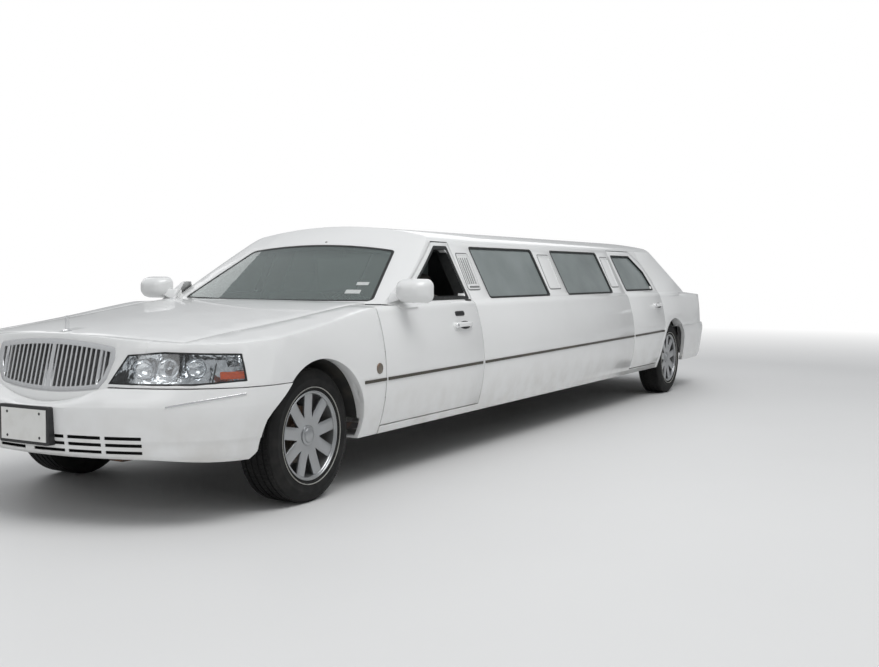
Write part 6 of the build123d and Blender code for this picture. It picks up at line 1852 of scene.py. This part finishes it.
# Lamps: name, place, point aimed at, size, setting that holds the power
LAMPS = (
    ("Key", (3.0, 5.0, 11.0), (0.8, 0, 0.6), (10.0, 6.0), "key_power"),
    ("Nose", (12.0, 1.0, 5.0), (3.5, 0, 0.6), (6.0, 4.0), "fill_power"),
    ("Tail", (-12.0, -4.0, 7.0), (-3.0, 0, 0.8), (7.0, 5.0), "fill_power"),
    ("Far side", (0.0, -10.0, 6.0), (0, 0, 0.6), (9.0, 4.0), "fill_power"),
)
# Dome from below to straight above: position and colour, and its strength
DOME = ((0.48, (0.30, 0.30, 0.30, 1)), (0.53, (0.52, 0.53, 0.54, 1)), (1.0, (0.95, 0.97, 1.0, 1)))
DOME_STRENGTH = 0.62
WHITE = (1, 1, 1, 1)


def add_lamp(name, place, target, size, power):
    """Soft area lamp aimed at a point."""
    data = bpy.data.lights.new(name, "AREA")
    data.shape = "RECTANGLE"
    data.size, data.size_y = size
    data.energy = power
    lamp = bpy.data.objects.new(name, data)
    lamp.location = place
    lamp.rotation_mode = "QUATERNION"
    lamp.rotation_quaternion = (Vector(target) - Vector(place)).to_track_quat("-Z", "Y")
    bpy.context.scene.collection.objects.link(lamp)


def studio_world():
    """White behind the object, and a soft grey dome for its light and reflections."""
    world = bpy.data.worlds.new("Studio")
    world.use_nodes = True
    nodes, links = world.node_tree.nodes, world.node_tree.links
    nodes.clear()
    coordinates = nodes.new("ShaderNodeTexCoord")
    separate = nodes.new("ShaderNodeSeparateXYZ")
    links.new(coordinates.outputs["Generated"], separate.inputs[0])
    ramp = nodes.new("ShaderNodeValToRGB")
    elements = ramp.color_ramp.elements
    elements[0].position, elements[0].color = DOME[0]
    elements[1].position, elements[1].color = DOME[-1]
    elements.new(DOME[1][0]).color = DOME[1][1]
    scaled = set_inputs(nodes.new("ShaderNodeMapRange"), From_Min=-1.0)
    links.new(separate.outputs["Z"], scaled.inputs["Value"])
    links.new(scaled.outputs["Result"], ramp.inputs["Fac"])
    dome = set_inputs(nodes.new("ShaderNodeBackground"), Strength=DOME_STRENGTH)
    links.new(ramp.outputs["Color"], dome.inputs["Color"])
    white = set_inputs(nodes.new("ShaderNodeBackground"), Color=WHITE, Strength=1.0)
    path = nodes.new("ShaderNodeLightPath")
    mix = nodes.new("ShaderNodeMixShader")
    links.new(path.outputs["Is Camera Ray"], mix.inputs[0])
    links.new(dome.outputs[0], mix.inputs[1])
    links.new(white.outputs[0], mix.inputs[2])
    output = nodes.new("ShaderNodeOutputWorld")
    links.new(mix.outputs[0], output.inputs["Surface"])
    bpy.context.scene.world = world


def floor_material(color):
    """Pale floor that turns white for the camera far from the object."""
    work = Finish("floor", "studio_floor", color, 0.55)
    work.mottle(0.5, tuple(value * 0.96 for value in color), 0.35, 0.65, 0.5)
    nodes, links = work.nodes, work.links
    length = nodes.new("ShaderNodeVectorMath")
    length.operation = "LENGTH"
    links.new(work.coordinates, length.inputs[0])
    far = work.ranged(length.outputs["Value"], *FLOOR_FADE)
    path = nodes.new("ShaderNodeLightPath")
    amount = work.times(far, path.outputs["Is Camera Ray"])
    white = set_inputs(nodes.new("ShaderNodeEmission"), Color=WHITE)
    mix = nodes.new("ShaderNodeMixShader")
    links.new(amount, mix.inputs[0])
    links.new(work.shader.outputs[0], mix.inputs[1])
    links.new(white.outputs[0], mix.inputs[2])
    links.new(mix.outputs[0], nodes["Material Output"].inputs["Surface"])
    return work.material


class LIMOUSINE_OT_stage(bpy.types.Operator):
    """Sets the pale floor, the soft studio lamps and the camera"""

    bl_idname = "limousine.stage"
    bl_label = "Stage"

    def execute(self, context):
        scene = context.scene
        settings = scene.limousine_stage
        bm = bmesh.new()
        bmesh.ops.create_grid(bm, x_segments=8, y_segments=8, size=FLOOR_SIZE)
        mesh = bpy.data.meshes.new("Floor")
        bm.to_mesh(mesh)
        bm.free()
        floor = bpy.data.objects.new("Floor", mesh)
        floor.location.z = FLOOR_Z
        floor.data.materials.append(floor_material(settings.floor_color))
        scene.collection.objects.link(floor)
        studio_world()
        for name, place, target, size, power in LAMPS:
            add_lamp(name, place, target, size, getattr(settings, power))
        data = bpy.data.cameras.new("Camera")
        data.lens = settings.focal_length
        data.sensor_width = SENSOR_WIDTH
        data.clip_start, data.clip_end = CLIP_NEAR, CLIP_FAR
        camera = bpy.data.objects.new("Camera", data)
        level = math.cos(CAMERA_PITCH)
        forward = Vector((-math.cos(CAMERA_YAW) * level, -math.sin(CAMERA_YAW) * level, -math.sin(CAMERA_PITCH)))
        right = forward.cross(Vector(UP)).normalized()
        up = right.cross(forward)
        cosine, sine = math.cos(CAMERA_ROLL), math.sin(CAMERA_ROLL)
        axes = (right * cosine + up * sine, up * cosine - right * sine, -forward)
        camera.matrix_world = Matrix.Translation(CAMERA_PLACE) @ Matrix(axes).transposed().to_4x4()
        scene.collection.objects.link(camera)
        scene.camera = camera
        scene.view_settings.view_transform = "Standard"
        return {"FINISHED"}


# ------------------------------------------------------------------- panel


class LIMOUSINE_PT_panel(bpy.types.Panel):
    """Lists the operators and sizes"""

    bl_label = "Limousine"
    bl_idname = "LIMOUSINE_PT_panel"
    bl_space_type = "VIEW_3D"
    bl_region_type = "UI"
    bl_category = "Limousine"

    def draw(self, context):
        layout = self.layout
        for attribute, group in SETTINGS.items():
            box = layout.box()
            box.label(text=group.__doc__)
            for name in group.__annotations__:
                box.prop(getattr(context.scene, attribute), name)
        for operator in OPERATORS:
            layout.operator(operator.bl_idname)


SETTINGS = {
    "limousine_body": LimousineBodySettings,
    "limousine_glass": LimousineGlassSettings,
    "limousine_wheels": LimousineWheelSettings,
    "limousine_cabin": LimousineCabinSettings,
    "limousine_stage": LimousineStageSettings,
}
OPERATORS = (
    LIMOUSINE_OT_finishes,
    LIMOUSINE_OT_side_mouldings,
    LIMOUSINE_OT_window_gaskets,
    LIMOUSINE_OT_pillar_panels,
    LIMOUSINE_OT_door_handles,
    LIMOUSINE_OT_tyres,
    LIMOUSINE_OT_wheels,
    LIMOUSINE_OT_headlamps,
    LIMOUSINE_OT_bumper_covers,
    LIMOUSINE_OT_nose_details,
    LIMOUSINE_OT_screens,
    LIMOUSINE_OT_screen_extras,
    LIMOUSINE_OT_door_mirrors,
    LIMOUSINE_OT_wipers,
    LIMOUSINE_OT_tail_lamps,
    LIMOUSINE_OT_tail_details,
    LIMOUSINE_OT_seats,
    LIMOUSINE_OT_controls,
    LIMOUSINE_OT_stage,
)


def register():
    for group in SETTINGS.values():
        bpy.utils.register_class(group)
    for attribute, group in SETTINGS.items():
        setattr(bpy.types.Scene, attribute, bpy.props.PointerProperty(type=group))
    for operator in OPERATORS:
        bpy.utils.register_class(operator)
    bpy.utils.register_class(LIMOUSINE_PT_panel)


def unregister():
    bpy.utils.unregister_class(LIMOUSINE_PT_panel)
    for operator in reversed(OPERATORS):
        bpy.utils.unregister_class(operator)
    for attribute in SETTINGS:
        delattr(bpy.types.Scene, attribute)
    for group in reversed(list(SETTINGS.values())):
        bpy.utils.unregister_class(group)


def main():
    register()
    for operator in OPERATORS:
        name = operator.bl_idname.split(".")[1]
        getattr(bpy.ops.limousine, name)()


if __name__ == "__main__":
    main()
